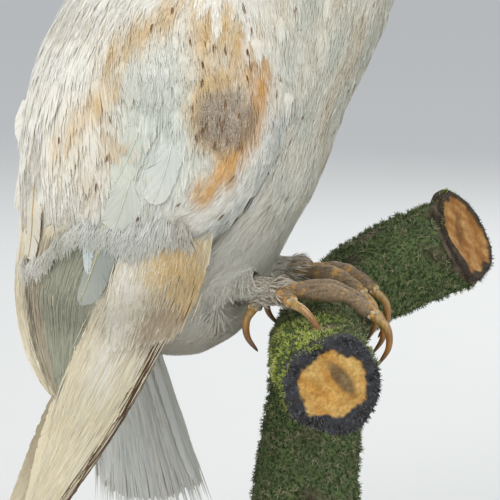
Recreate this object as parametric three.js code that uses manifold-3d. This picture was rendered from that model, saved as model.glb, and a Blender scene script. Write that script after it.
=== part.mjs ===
// A life-size taxidermy barn owl on a mossy, sawn branch that rises from a round wooden base.
// Millimetres, +Z up. The bird faces +X and its left side is +Y. The origin is the centre of
// the base's underside. Feathered parts are solids of the plumage's outer shape.
import * as THREE from "three";
import Module from "manifold-3d";

const wasm = await Module();
wasm.setup();

const { abs, cos, exp, hypot, max, min, sin, sqrt, PI } = Math;
const { lerp, smoothstep, degToRad } = THREE.MathUtils;

// ---- driving dimensions ----
const GAP = 0.35; // clearance between neighbouring solids
const PERCH = { x: 40, top: 185 }; // where the bird's own frame sits: on the branch, between the feet
const BASE = { radius: 106, thick: 18, edge: 5 };
const HEAD = {
  centre: [-2, 0, 216],
  turn: -15, // degrees about Z, to the bird's right
  disc: 28, // how far the rim of the facial disc stands in front of the centre
  shoulder: 8, // where the skull starts to round off behind the disc
  depth: 35,
  radius: 40,
  dish: 7,
  ridge: 5,
};
const EYE = { radius: 7.5, x: 14.5, apart: 18.5, z: 5 };
const BILL = { root: 6.5, squeeze: 0.75, ridge: [[18, 3], [29, 0], [35, -9], [35.5, -18]], tip: [33, -24] };
const WING = { thick: 24, raised: 3, sunk: 8, vane: 1.4, lap: 0.8, swept: { right: 0, left: 16 } };
const TAIL = { root: [-96, 40], tip: [-74, -97], narrow: 6, spread: 66, twist: 33, roll: 0.24 };
const LEG = { thigh: 17, knee: 8, shank: 5.2, top: 36, trim: 5, ankle: -15 };
const FOOT = { y: 24, toe: 4.1, claw: 2.1 };
const LOG = {
  stub: 19,
  trunk: 26,
  flare: 7, // how much the trunk widens on the base
  limb: 16,
  swell: 4.5, // how much the limb thickens again past the fork
  rise: [[-10, 35, -110], [-6, 34, -60], [-3, 34, -26], [18, 50, -6], [60, 66, 13]],
  run: [[-3, 36, -26], [-2, 12, -26], [3, -22, -26.5], [15, -63, -28.5]],
};

// Heart-shaped rim of the facial disc: its radius each 30 degrees, from the forehead to the chin.
const RIM = [31, 40, 43, 41, 37, 37, 41];

// Level sections of the plumage, from the vent to the top of the neck.
const BODY = [
  { z: -30, front: -50, back: -72, half: 8 },
  { z: -20, front: -34, back: -84, half: 22 },
  { z: 8, front: -20, back: -101, half: 39 },
  { z: 42, front: 0, back: -113, half: 48 },
  { z: 74, front: 11, back: -114, half: 50 },
  { z: 100, front: 24, back: -107, half: 50 },
  { z: 124, front: 32, back: -94, half: 49 },
  { z: 150, front: 35, back: -74, half: 44 },
  { z: 174, front: 31, back: -52, half: 38 },
  { z: 196, front: 24, back: -38, half: 34 },
  { z: 212, front: 12, back: -28, half: 22 },
];

// The surface on which a folded wing lies: level ellipses round both wings together.
const FOLD = [
  { z: 140, mid: -32, deep: 70, half: 50 },
  { z: 100, mid: -52, deep: 64, half: 57 },
  { z: 60, mid: -58, deep: 68, half: 59 },
  { z: 20, mid: -64, deep: 64, half: 54 },
  { z: -20, mid: -76, deep: 56, half: 43 },
  { z: -60, mid: -92, deep: 50, half: 32 },
  { z: -100, mid: -114, deep: 50, half: 22 },
  { z: -145, mid: -135, deep: 50, half: 14 },
];

// ---- curves ----
// A smooth curve through a table's rows, read at z.
function smoothAt(rows, key, z) {
  const up = rows[0].z < rows[rows.length - 1].z ? rows : [...rows].reverse();
  const at = min(max(z, up[0].z), up[up.length - 1].z);
  let i = 0;
  while (i < up.length - 2 && at > up[i + 1].z) i += 1;
  const secant = (k) => (up[k + 1][key] - up[k][key]) / (up[k + 1].z - up[k].z);
  const slope = (k) => {
    if (k === 0) return secant(0);
    if (k === up.length - 1) return secant(k - 1);
    return (secant(k - 1) + secant(k)) / 2;
  };
  const span = up[i + 1].z - up[i].z;
  const t = (at - up[i].z) / span;
  const t2 = t * t;
  const t3 = t2 * t;
  return (
    (2 * t3 - 3 * t2 + 1) * up[i][key] +
    (t3 - 2 * t2 + t) * span * slope(i) +
    (3 * t2 - 2 * t3) * up[i + 1][key] +
    (t3 - t2) * span * slope(i + 1)
  );
}

const point = (...xyz) => new THREE.Vector3(...xyz);
const spline = (points) => new THREE.CatmullRomCurve3(points, false, "centripetal");
const curve = (...points) => spline(points.map((p) => point(...p)));

// ---- closed bodies ----
function solid(vertices, faces) {
  const vertProperties = new Float32Array(vertices.flatMap((v) => [v.x, v.y, v.z]));
  const build = (tris) => {
    const triVerts = new Uint32Array(tris.flat());
    return new wasm.Manifold(new wasm.Mesh({ numProp: 3, vertProperties, triVerts }));
  };
  const made = build(faces);
  return made.volume() > 0 ? made : build(faces.map(([a, b, c]) => [a, c, b]));
}

// Rings of points, one after another, closed at both ends onto a centre point.
function rings(list) {
  const around = list[0].length;
  const vertices = list.flat();
  const faces = [];
  for (let r = 0; r + 1 < list.length; r += 1)
    for (let c = 0; c < around; c += 1) {
      const a = r * around + c;
      const b = r * around + ((c + 1) % around);
      faces.push([a, b, b + around], [a, b + around, a + around]);
    }
  for (const [ring, start, turn] of [
    [list[0], 0, false],
    [list[list.length - 1], (list.length - 1) * around, true],
  ]) {
    const middle = vertices.length;
    vertices.push(ring.reduce((sum, p) => sum.add(p), point(0, 0, 0)).divideScalar(around));
    for (let c = 0; c < around; c += 1) {
      const pair = [start + c, start + ((c + 1) % around)];
      faces.push(turn ? [pair[0], pair[1], middle] : [pair[1], pair[0], middle]);
    }
  }
  return solid(vertices, faces);
}

// A plate between two grids of points with the same rows and columns.
function plate(outer, inner) {
  const rows = outer.length;
  const cols = outer[0].length;
  const vertices = [...outer.flat(), ...inner.flat()];
  const half = rows * cols;
  const faces = [];
  const quad = (a, b, c, d) => faces.push([a, b, c], [a, c, d]);
  for (let r = 0; r + 1 < rows; r += 1)
    for (let c = 0; c + 1 < cols; c += 1) {
      const a = r * cols + c;
      quad(a, a + 1, a + cols + 1, a + cols);
      quad(half + a, half + a + cols, half + a + cols + 1, half + a + 1);
    }
  const edge = [];
  for (let c = 0; c + 1 < cols; c += 1) edge.push(c);
  for (let r = 0; r + 1 < rows; r += 1) edge.push(r * cols + cols - 1);
  for (let c = cols - 1; c > 0; c -= 1) edge.push((rows - 1) * cols + c);
  for (let r = rows - 1; r > 0; r -= 1) edge.push(r * cols);
  edge.forEach((a, i) => {
    const b = edge[(i + 1) % edge.length];
    quad(b, a, half + a, half + b);
  });
  return solid(vertices, faces);
}

// A tube of changing radius along a curve; squeeze narrows it sideways.
function tube(path, radiusAt, steps, sides, squeeze = 1) {
  const frames = path.computeFrenetFrames(steps, false);
  const list = [];
  for (let i = 0; i <= steps; i += 1) {
    const t = i / steps;
    const centre = path.getPointAt(t);
    const tangent = frames.tangents[i];
    const side = point(0, 1, 0).addScaledVector(tangent, -tangent.y);
    if (side.length() < 0.3) side.set(1, 0, 0).addScaledVector(tangent, -tangent.x);
    side.normalize();
    const up = tangent.clone().cross(side);
    const ring = [];
    for (let k = 0; k < sides; k += 1) {
      const angle = (2 * PI * k) / sides;
      ring.push(
        centre
          .clone()
          .addScaledVector(side, radiusAt(t) * squeeze * cos(angle))
          .addScaledVector(up, radiusAt(t) * sin(angle)),
      );
    }
    list.push(ring);
  }
  return rings(list);
}

function ball(centre, radius, detail) {
  const around = detail * 2;
  const places = new THREE.SphereGeometry(radius, around, detail).getAttribute("position");
  const list = [];
  for (let r = 1; r < detail; r += 1) {
    const ring = [];
    for (let c = 0; c < around; c += 1)
      ring.push(point().fromBufferAttribute(places, r * (around + 1) + c).add(centre));
    list.push(ring);
  }
  return rings(list);
}

// ---- trunk, neck and head ----
const BODY_AROUND = 18;

function bodyRing(z, grow) {
  const front = smoothAt(BODY, "front", z) + grow;
  const back = smoothAt(BODY, "back", z) - grow;
  const half = smoothAt(BODY, "half", z) + grow;
  const ring = [];
  for (let k = 0; k < BODY_AROUND; k += 1) {
    const angle = (2 * PI * k) / BODY_AROUND;
    ring.push(point((front + back) / 2 + ((front - back) / 2) * cos(angle), half * sin(angle), z));
  }
  return ring;
}

function bodySolid(grow = 0) {
  const levels = [];
  for (let z = BODY[0].z; z < 190; z += z < 4 ? 9 : 16) levels.push(z);
  levels.push(196, 206, 212);
  return rings(levels.map((z) => bodyRing(z, grow)));
}

const headTurn = degToRad(HEAD.turn);
function fromHead(x, y, z) {
  return point(x, y, z).applyAxisAngle(point(0, 0, 1), headTurn).add(point(...HEAD.centre));
}

function rimRadius(angle) {
  const turn = abs(((angle + PI) % (2 * PI)) - PI) / (PI / 6);
  const i = min(Math.floor(turn), RIM.length - 2);
  const t = smoothstep(turn - i, 0, 1);
  return lerp(RIM[i], RIM[i + 1], t);
}

// The dished face: deepest at the eyes, with a ridge from the forehead to the bill.
function faceDepth(y, z) {
  const eye = exp(-(((abs(y) - EYE.apart) / 13) ** 2) - ((z - EYE.z) / 17) ** 2);
  const ridge = exp(-((y / 6) ** 2)) * smoothstep(z, -22, -8) * (1 - smoothstep(z, 22, 36));
  return HEAD.disc - HEAD.dish * eye + HEAD.ridge * ridge - 2;
}

function headSolid() {
  const around = 22;
  const list = [];
  const ring = (place) => {
    const made = [];
    for (let k = 0; k < around; k += 1) made.push(place((2 * PI * k) / around));
    list.push(made);
  };
  for (const share of [0.07, 0.3, 0.52, 0.74, 0.88])
    ring((a) => {
      const y = rimRadius(a) * share * sin(a);
      const z = rimRadius(a) * share * cos(a);
      return fromHead(faceDepth(y, z), y, z);
    });
  ring((a) => fromHead(HEAD.disc + 1, 0.95 * rimRadius(a) * sin(a), 0.95 * rimRadius(a) * cos(a)));
  ring((a) => fromHead(HEAD.disc - 3, rimRadius(a) * sin(a), rimRadius(a) * cos(a)));
  ring((a) => {
    const wide = lerp(rimRadius(a), HEAD.radius, 0.55);
    return fromHead((HEAD.disc + HEAD.shoulder) / 2, wide * sin(a), wide * cos(a));
  });
  for (const turn of [0, 18, 36, 54, 70, 84])
    ring((a) => {
      const wide = HEAD.radius * cos(degToRad(turn));
      const x = HEAD.shoulder - (HEAD.depth + HEAD.shoulder) * sin(degToRad(turn));
      return fromHead(x, wide * sin(a), wide * cos(a));
    });
  return rings(list);
}

function billSolid(grow = 0) {
  const ridge = BILL.ridge.map(([x, z]) => fromHead(x, 0, z));
  ridge.push(fromHead(BILL.tip[0], 0, BILL.tip[1] - grow));
  const radius = (t) => (BILL.root + grow) * sqrt(max(1 - t ** 2.2, 0.01));
  return tube(spline(ridge), radius, 8, 8, BILL.squeeze);
}

function eyeSolid(side, grow = 0) {
  return ball(fromHead(EYE.x, side * EYE.apart, EYE.z), EYE.radius + grow, 6);
}

// The planes that part the head, neck and trunk run down towards the throat.
const NECK_CUT = { front: [30, 171], back: [-42, 197], thick: 17 };
const cutRun = [NECK_CUT.front[0] - NECK_CUT.back[0], NECK_CUT.front[1] - NECK_CUT.back[1]];
const cutLength = hypot(...cutRun);
const cutNormal = [-cutRun[1] / cutLength, 0, cutRun[0] / cutLength];
const cutOffset = cutNormal[0] * NECK_CUT.front[0] + cutNormal[2] * NECK_CUT.front[1];
const flip = (normal) => normal.map((n) => -n);
const above = (body, offset) => body.trimByPlane(cutNormal, offset);
const below = (body, offset) => body.trimByPlane(flip(cutNormal), -offset);

// The facial disc is parted from the skull by a plane behind the eyes' dish.
const discNormal = point(1, 0, 0).applyAxisAngle(point(0, 0, 1), headTurn);
const discOffset = discNormal.dot(fromHead(15.5, 0, 0));

// ---- wings ----
function foldSide(x, z) {
  const mid = smoothAt(FOLD, "mid", z);
  const deep = smoothAt(FOLD, "deep", z);
  return smoothAt(FOLD, "half", z) * sqrt(max(1 - ((x - mid) / deep) ** 2, 0.08));
}

// The arm and hand, under their coverts, between a front and a back edge.
const ARM = {
  front: [[-30, 136], [-10, 112], [-3, 88], [-7, 66], [-18, 42], [-36, 24]],
  back: [[-88, 136], [-108, 112], [-121, 84], [-125, 56], [-124, 28], [-118, 0]],
};

function armSolid(side) {
  const edge = (list) => new THREE.SplineCurve(list.map(([x, z]) => new THREE.Vector2(x, z)));
  const front = edge(ARM.front);
  const back = edge(ARM.back);
  const rows = 6;
  const cols = 7;
  const outer = [];
  const inner = [];
  for (let r = 0; r <= rows; r += 1) {
    const a = front.getPoint(r / rows);
    const b = back.getPoint(r / rows);
    outer.push([]);
    inner.push([]);
    for (let c = 0; c <= cols; c += 1) {
      const t = c / cols;
      const sag = -16 * (r / rows) ** 2 * sin(PI * t);
      const x = lerp(a.x, b.x, t);
      const z = lerp(a.y, b.y, t) + sag;
      const round = sqrt(max(1 - (2 * t - 1) ** 6, 0));
      const sunk = WING.sunk * (1 - smoothstep(r / rows, 0, 0.3));
      const y = foldSide(x, z) + WING.raised * round - sunk;
      outer[r].push(point(x, side * y, z));
      inner[r].push(point(x, side * (y - 1 - WING.thick * round), z));
    }
  }
  return plate(outer, inner);
}

// A fan of overlapping feathers as one plate. Each feather runs from a root to a tip; along the
// tips the edge is scalloped, and each feather stands one lap above the one before it.
function fanGrid({ roots, tips, count, bow, notch, sideOf, rows }) {
  const grid = [];
  const cols = count * 2;
  for (let r = 0; r <= rows; r += 1) {
    grid.push([]);
    for (let c = 0; c <= cols; c += 1) {
      const across = c / cols;
      const edge = c % 2 === 0 ? notch : 0;
      const root = roots(across);
      const tip = tips(across);
      const t = (r / rows) * (1 - edge);
      const bend = lerp(bow[0], bow[1], across) * sin(PI * t);
      const dx = tip[0] - root[0];
      const dz = tip[1] - root[1];
      const length = hypot(dx, dz);
      const x = root[0] + dx * t - (dz / length) * bend;
      const z = root[1] + dz * t + (dx / length) * bend;
      grid[r].push([x, z, sideOf(x, z, across, c % 2)]);
    }
  }
  return grid;
}

function fanSolid(side, spec) {
  const outer = fanGrid(spec).map((row) => row.map(([x, z, y]) => point(x, side * y, z)));
  const inner = fanGrid(spec).map((row) => row.map(([x, z, y]) => point(x, side * (y - spec.thick), z)));
  return plate(outer, inner);
}

const between = (a, b) => (t) => a.map((value, i) => lerp(value, b[i], t));

// The three fans of a folded wing, from its leading edge (0) to its trailing edge (1). The
// left wing is swept a little further back than the right.
function primaries(swept) {
  return {
    roots: between([-38, 20], [-72, 8]),
    tips: between([-143 - swept, -142], [-119 - swept, -104]),
    count: 7,
    bow: [7, -7],
    notch: 0.03,
    rows: 5,
    thick: WING.vane,
    sideOf: (x, z, t, mid) => foldSide(x, z) - 7 + WING.lap * (3.5 * t + mid * 0.5),
  };
}

function secondaries() {
  return {
    roots: between([-70, 12], [-118, 26]),
    tips: between([-101, -50], [-109, -43]),
    count: 6,
    bow: [-6, -9],
    notch: 0.035,
    rows: 4,
    thick: WING.vane,
    sideOf: (x, z, t, mid) => foldSide(x, z) - 4.2 + WING.lap * (2 * t + mid * 0.5),
  };
}

function primaryCoverts() {
  return {
    roots: between([-36, 25], [-70, 14]),
    tips: between([-55, -18], [-79, -24]),
    count: 4,
    bow: [2, 0],
    notch: 0.06,
    rows: 3,
    thick: 2.4,
    sideOf: (x, z, t, mid) => foldSide(x, z) - 2.4 + WING.lap * (t + mid * 0.5),
  };
}

// ---- tail ----
// The tail hangs as a shallow tent of feathers, turned so that the bird's left edge is forward.
function tailPoint(across, down, depth) {
  const reach = down * (1 - 0.05 * across ** 2);
  const wide = lerp(TAIL.narrow, TAIL.spread / 2, down ** 1.4) * across;
  const turned = degToRad(TAIL.twist) * smoothstep(down, 0, 0.6);
  const x = lerp(TAIL.root[0], TAIL.tip[0], reach) + depth * cos(turned);
  const z = lerp(TAIL.root[1], TAIL.tip[1], reach) - TAIL.roll * wide * down;
  return point(x + wide * sin(turned), wide * cos(turned) - depth * sin(turned), z);
}

function tailSolid() {
  const feathers = 6;
  const rows = 5;
  const thick = 1.6;
  const face = (depth) => {
    const grid = [];
    for (let r = 0; r <= rows; r += 1) {
      grid.push([]);
      for (let c = 0; c <= feathers * 2; c += 1) {
        const across = c / feathers - 1;
        const down = (r / rows) * (c % 2 === 0 ? 0.965 : 1);
        grid[r].push(tailPoint(across, down, 5 * across ** 2 + 0.7 * (c % 2) + depth));
      }
    }
    return grid;
  };
  return plate(face(-thick), face(0));
}

// ---- legs, feet and claws ----
// A thigh that comes down out of the plumage, and a feathered shank that runs on to the foot.
function legCutter(side, grow = GAP) {
  const y = side * FOOT.y;
  const thighPath = curve([-41, y * 1.12, LEG.top], [-46, y * 1.1, 20], [-49, y * 1.04, 3]);
  const thighRadius = (t) => grow + lerp(LEG.thigh, LEG.knee, smoothstep(t, 0, 0.9));
  const shankPath = curve([-52, y * 1.04, 2], [-34, y, 1.5], [LEG.ankle, y, 2.5]);
  const shankRadius = (t) => grow + lerp(LEG.knee, LEG.shank, smoothstep(t, 0, 0.6));
  return tube(thighPath, thighRadius, 3, 9).add(tube(shankPath, shankRadius, 4, 9));
}

// The leg ends a little short of its cutter, both in the plumage and at the foot.
function legSolid(side) {
  const whole = legCutter(side, 0);
  return whole.trimByPlane([0, 0, -1], LEG.trim - LEG.top).trimByPlane([-1, 0, 0], GAP - LEG.ankle);
}

// Toes in the foot's own frame: forwards is +X and outwards is +Y. A toe's path ends where its
// claw begins. The right foot's outer toe reaches forward, and the left one's is held sideways.
const TOE = {
  inner: {
    path: [[-14, -1, 1], [0, -7, 1.5], [12, -10, 0.5], [22, -11, -6]],
    claw: [[28, -11.5, -11], [29, -11.5, -19], [25, -11, -26]],
  },
  middle: {
    path: [[-14, 0, 1], [2, 1, 1.5], [16, 2, 0], [26, 2, -7]],
    claw: [[32, 2.2, -12], [33, 2.4, -20], [28.5, 2.5, -28]],
  },
  outer: {
    path: [[-14, 1, 1], [-9, 8, 0.5], [-5, 14, -1]],
    claw: [[1, 19, -3], [6, 22, -8], [10, 24, -15]],
  },
  spread: {
    path: [[-14, 1, 1], [-14, 9, 1], [-14, 15, 0]],
    claw: [[-13, 20, 2], [-10, 25, 0], [-7, 28, -6]],
  },
  hind: {
    path: [[-13, 0, 0], [-19, 0.5, -1.5], [-23, 1, -6]],
    claw: [[-26, 1.5, -11], [-25.5, 2, -18], [-21, 2.5, -24]],
  },
};
const { inner, middle, hind } = TOE;
const toesOf = (side) => ({ inner, middle, outer: side < 0 ? TOE.outer : TOE.spread, hind });
// The left foot's toes curl a little closer: all that lies ahead of its pad is drawn back.
const CURL = { from: -14, left: 0.86 };
const drawnBack = (x, share) => CURL.from + max(x - CURL.from, 0) * share + min(x - CURL.from, 0);
const inFoot = (side, [x, y, z]) => [drawnBack(x, side > 0 ? CURL.left : 1), side * (FOOT.y + y), z];
const toePath = (side, toe) => curve(...toe.path.map((p) => inFoot(side, p)));
const clawPath = (side, toe) => curve(...[toe.path.at(-1), ...toe.claw].map((p) => inFoot(side, p)));

// A toe swells at its joints and pads.
const toeRadius = (t) => FOOT.toe * (1 + 0.14 * cos(t * 4 * PI)) * lerp(1.12, 0.82, t);
const toeSolid = (side, toe) => tube(toePath(side, toe), toeRadius, 6, 6);
const clawRadius = (grow) => (t) => grow + FOOT.claw * sqrt(max(1 - t, 0)) + 0.25;
const clawSolid = (side, toe, grow = 0) => tube(clawPath(side, toe), clawRadius(grow), 6, 5);

function footSolid(side) {
  const pad = ball(point(-13, side * FOOT.y, 1), 6.2, 5);
  const toes = Object.values(toesOf(side));
  const joined = toes.reduce((made, toe) => made.add(toeSolid(side, toe)), pad);
  const free = toes.reduce((made, toe) => made.subtract(clawSolid(side, toe, GAP)), joined);
  return free.subtract(legCutter(side));
}

// ---- branch and base ----
function bump(seed, angle, t) {
  return 1 + 0.05 * sin(3 * angle + seed + 5 * t) + 0.03 * sin(5 * angle - 2 * seed + 11 * t);
}

function logArm(path, radiusAt, steps, seed) {
  const frames = path.computeFrenetFrames(steps, false);
  const list = [];
  for (let i = 0; i <= steps; i += 1) {
    const t = i / steps;
    const ring = [];
    for (let k = 0; k < 12; k += 1) {
      const angle = (2 * PI * k) / 12;
      const radius = radiusAt(t) * bump(seed, angle, t);
      ring.push(
        path
          .getPointAt(t)
          .addScaledVector(frames.normals[i], radius * cos(angle))
          .addScaledVector(frames.binormals[i], radius * sin(angle)),
      );
    }
    list.push(ring);
  }
  return rings(list);
}

const FLOOR = -PERCH.top;
function logSolid(grow = 0) {
  const trunkFoot = FLOOR + BASE.thick + GAP;
  const trunkPath = curve([-14, 36, trunkFoot - 4], ...LOG.rise);
  const narrowed = (t) => lerp(LOG.trunk, LOG.limb, smoothstep(t, 0, 1));
  const taper = (t) => narrowed(t) + LOG.flare * exp(-t * 14) + LOG.swell * smoothstep(t, 0.64, 0.88);
  const trunk = logArm(trunkPath, (t) => grow + taper(t), 14, 1);
  const stub = logArm(curve(...LOG.run), () => LOG.stub + grow, 8, 2);
  return trunk.add(stub).trimByPlane([0, 0, 1], trunkFoot);
}

function baseGeometry() {
  const { radius, thick, edge } = BASE;
  const profile = [
    [0, 0],
    [radius - 2, 0],
    [radius, 2],
    [radius, thick * 0.45],
    [radius - edge * 0.5, thick * 0.6],
    [radius - edge, thick * 0.7],
    [radius - edge - 2, thick],
    [0, thick],
  ];
  const outline = profile.map(([x, y]) => new THREE.Vector2(x, y));
  return new THREE.LatheGeometry(outline, 32).rotateX(PI / 2);
}

// ---- assembly ----
const MATERIALS = {
  plumage: new THREE.MeshStandardMaterial({ color: 0xe4dfd0, roughness: 0.95 }),
  buff: new THREE.MeshStandardMaterial({ color: 0xd6b678, roughness: 0.95 }),
  vane: new THREE.MeshStandardMaterial({ color: 0xd3cbb4, roughness: 0.8 }),
  eye: new THREE.MeshStandardMaterial({ color: 0x0a0806, roughness: 0.05 }),
  bill: new THREE.MeshStandardMaterial({ color: 0xd8c3a4, roughness: 0.5 }),
  toe: new THREE.MeshStandardMaterial({ color: 0x8c6c42, roughness: 0.8 }),
  claw: new THREE.MeshStandardMaterial({ color: 0x8a4c1c, roughness: 0.35 }),
  moss: new THREE.MeshStandardMaterial({ color: 0x4c5a32, roughness: 1.0 }),
  wood: new THREE.MeshStandardMaterial({ color: 0x5a3a22, roughness: 0.5 }),
};

const bird = new THREE.Group();
bird.position.set(PERCH.x, 0, PERCH.top);

// Adds a solid as a named mesh. Crumbs that a cut leaves beside the main body are dropped.
function addSolid(name, made, material) {
  const main = made.decompose().reduce((best, piece) => (piece.volume() > best.volume() ? piece : best));
  const { vertProperties, triVerts, numProp } = main.getMesh();
  const positions = new Float32Array(triVerts.length * 3);
  triVerts.forEach((v, i) => {
    for (let k = 0; k < 3; k += 1) positions[i * 3 + k] = vertProperties[v * numProp + k];
  });
  const geometry = new THREE.BufferGeometry();
  geometry.setAttribute("position", new THREE.BufferAttribute(positions, 3));
  geometry.computeVertexNormals();
  const mesh = new THREE.Mesh(geometry, material);
  mesh.name = name;
  bird.add(mesh);
}

const SIDES = [["right", -1], ["left", 1]];
const clear = (body, ...cutters) => cutters.reduce((left, cutter) => left.subtract(cutter), body);
const trunkCutter = bodySolid(GAP);
const body = bodySolid();
const neckOffset = cutOffset - NECK_CUT.thick;

// The head: skull and facial disc, with sockets for the eyes and the bill.
const whole = above(headSolid().add(above(body, cutOffset)), cutOffset + GAP / 2);
const skull = clear(whole, eyeSolid(-1, GAP), eyeSolid(1, GAP), billSolid(GAP));
const discNormalList = discNormal.toArray();
addSolid("facial_disc", skull.trimByPlane(discNormalList, discOffset + GAP / 2), MATERIALS.plumage);
addSolid("head", skull.trimByPlane(flip(discNormalList), -discOffset + GAP / 2), MATERIALS.buff);
addSolid("bill", billSolid(), MATERIALS.bill);
for (const [name, side] of SIDES) addSolid(`eye_${name}`, eyeSolid(side), MATERIALS.eye);

const throat = below(body.add(headSolid()), cutOffset - GAP / 2);
addSolid("neck", above(throat, neckOffset + GAP / 2), MATERIALS.plumage);

// Fans go on from the inside out, and each is cut clear of those already there.
const grownFan = (side, spec) =>
  fanSolid(side, { ...spec, thick: spec.thick + 2 * GAP, sideOf: (...at) => spec.sideOf(...at) + GAP });

let tail = tailSolid().subtract(trunkCutter);
let trunkLeft = below(body, neckOffset - GAP / 2);
for (const [name, side] of SIDES) {
  const inner = primaries(WING.swept[name]);
  const outer = secondaries();
  const top = primaryCoverts();
  const [innerCutter, outerCutter, topCutter] = [inner, outer, top].map((spec) => grownFan(side, spec));
  const flesh = [trunkCutter, legCutter(side)];
  const arm = clear(armSolid(side), ...flesh, innerCutter, outerCutter, topCutter);
  const hand = clear(fanSolid(side, inner), ...flesh, outerCutter, topCutter);
  const forearm = clear(fanSolid(side, outer), ...flesh, topCutter);
  const sleeve = clear(fanSolid(side, top), ...flesh);
  addSolid(`wing_${name}_arm`, arm, MATERIALS.buff);
  addSolid(`wing_${name}_primaries`, hand, MATERIALS.vane);
  addSolid(`wing_${name}_secondaries`, forearm, MATERIALS.vane);
  addSolid(`wing_${name}_primary_coverts`, sleeve, MATERIALS.buff);
  tail = tail.subtract(innerCutter);
}
addSolid("tail", tail, MATERIALS.vane);

const logCutter = logSolid(GAP);
for (const [name, side] of SIDES) {
  trunkLeft = trunkLeft.subtract(legCutter(side));
  addSolid(`leg_${name}`, legSolid(side), MATERIALS.plumage);
  addSolid(`foot_${name}`, footSolid(side).subtract(logCutter), MATERIALS.toe);
  for (const [toeName, toe] of Object.entries(toesOf(side)))
    addSolid(`claw_${name}_${toeName}`, clawSolid(side, toe).subtract(logCutter), MATERIALS.claw);
}
addSolid("trunk", trunkLeft, MATERIALS.plumage);
addSolid("perch_branch", logSolid(), MATERIALS.moss);

const base = new THREE.Mesh(baseGeometry(), MATERIALS.wood);
base.name = "stand_base";

const owl = new THREE.Group();
owl.add(bird, base);

export default owl;
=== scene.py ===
import math
import bpy
import numpy as np
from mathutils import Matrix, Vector
from mathutils.bvhtree import BVHTree
from mathutils.kdtree import KDTree


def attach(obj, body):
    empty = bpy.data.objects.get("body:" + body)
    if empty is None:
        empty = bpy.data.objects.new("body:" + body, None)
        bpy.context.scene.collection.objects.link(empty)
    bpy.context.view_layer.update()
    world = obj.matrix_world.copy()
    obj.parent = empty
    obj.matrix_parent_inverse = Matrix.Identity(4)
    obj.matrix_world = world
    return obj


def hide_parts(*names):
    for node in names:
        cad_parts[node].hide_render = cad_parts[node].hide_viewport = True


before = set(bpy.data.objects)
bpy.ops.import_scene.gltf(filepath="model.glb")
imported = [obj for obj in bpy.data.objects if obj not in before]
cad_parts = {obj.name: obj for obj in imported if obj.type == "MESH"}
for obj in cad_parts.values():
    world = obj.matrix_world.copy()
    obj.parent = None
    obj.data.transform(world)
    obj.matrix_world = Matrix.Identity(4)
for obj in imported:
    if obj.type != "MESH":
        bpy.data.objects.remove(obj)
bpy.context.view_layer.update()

# Shapes are worked out in the bird's own frame, in millimetres: forwards is +X, its left is +Y
# and up is +Z, with the origin on top of the perch between the feet.
birdAt = np.array([40.0, 0.0, 185.0])
mm = 0.001
bothSides = (("right", -1), ("left", 1))


def lerp(a, b, t):
    return a + (b - a) * t


def smoothstep(low, high, x):
    t = np.clip((np.asarray(x, float) - low) / (high - low), 0, 1)
    return t * t * (3 - 2 * t)


def unit(v):
    return v / np.maximum(np.linalg.norm(v, axis=-1, keepdims=True), 1e-9)


def dots(a, b):
    return (a * b).sum(-1, keepdims=True)


def uneven(rng, amount, *shape):
    # shares near 1
    return 1 + amount * rng.standard_normal(shape).clip(-2, 2)


def colour(text):
    # a linear colour from the six digits a paint picker shows
    parts = np.array([int(text[i:i + 2], 16) / 255 for i in (0, 2, 4)])
    return np.where(parts <= 0.04045, parts / 12.92, ((parts + 0.055) / 1.055) ** 2.4)


def tableRead(rows, key, z):
    # a smooth curve through a table's rows, as tangents between the neighbouring rows
    rows = sorted(rows, key=lambda row: row["z"])
    zs = np.array([row["z"] for row in rows], float)
    values = np.array([row[key] for row in rows], float)
    secants = np.diff(values) / np.diff(zs)
    slopes = np.concatenate([secants[:1], (secants[1:] + secants[:-1]) / 2, secants[-1:]])
    at = np.clip(z, zs[0], zs[-1])
    i = np.clip(np.searchsorted(zs, at, "right") - 1, 0, len(zs) - 2)
    span = zs[i + 1] - zs[i]
    t = (at - zs[i]) / span
    return (
        (2 * t**3 - 3 * t**2 + 1) * values[i]
        + (t**3 - 2 * t**2 + t) * span * slopes[i]
        + (3 * t**2 - 2 * t**3) * values[i + 1]
        + (t**3 - t**2) * span * slopes[i + 1]
    )


def curvePoints(points, count):
    # a centripetal spline through the points, read at equal lengths
    points = np.asarray(points, float)
    around = np.vstack([2 * points[0] - points[1], points, 2 * points[-1] - points[-2]])
    dense = []
    for p0, p1, p2, p3 in zip(around, around[1:], around[2:], around[3:]):
        t1 = math.sqrt(np.linalg.norm(p1 - p0))
        t2 = t1 + math.sqrt(np.linalg.norm(p2 - p1))
        t3 = t2 + math.sqrt(np.linalg.norm(p3 - p2))
        t = np.linspace(t1, t2, 24, endpoint=False)[:, None]
        a1 = lerp(p0, p1, t / t1)
        a2 = lerp(p1, p2, (t - t1) / (t2 - t1))
        a3 = lerp(p2, p3, (t - t2) / (t3 - t2))
        b1 = lerp(a1, a2, t / t2)
        b2 = lerp(a2, a3, (t - t1) / (t3 - t1))
        dense.append(lerp(b1, b2, (t - t1) / (t2 - t1)))
    dense = np.vstack(dense + [points[-1:]])
    run = np.concatenate([[0], np.cumsum(np.linalg.norm(np.diff(dense, axis=0), axis=1))])
    at = np.linspace(0, run[-1], count)
    return np.column_stack([np.interp(at, run, dense[:, k]) for k in range(3)])


def outwards(points, triangles):
    # the triangles, turned so that a closed body's faces point out
    corners = points[triangles] - points.mean(0)
    volume = np.einsum("ij,ij->", corners[:, 0], np.cross(corners[:, 1], corners[:, 2]))
    return triangles if volume > 0 else triangles[:, ::-1]


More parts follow.
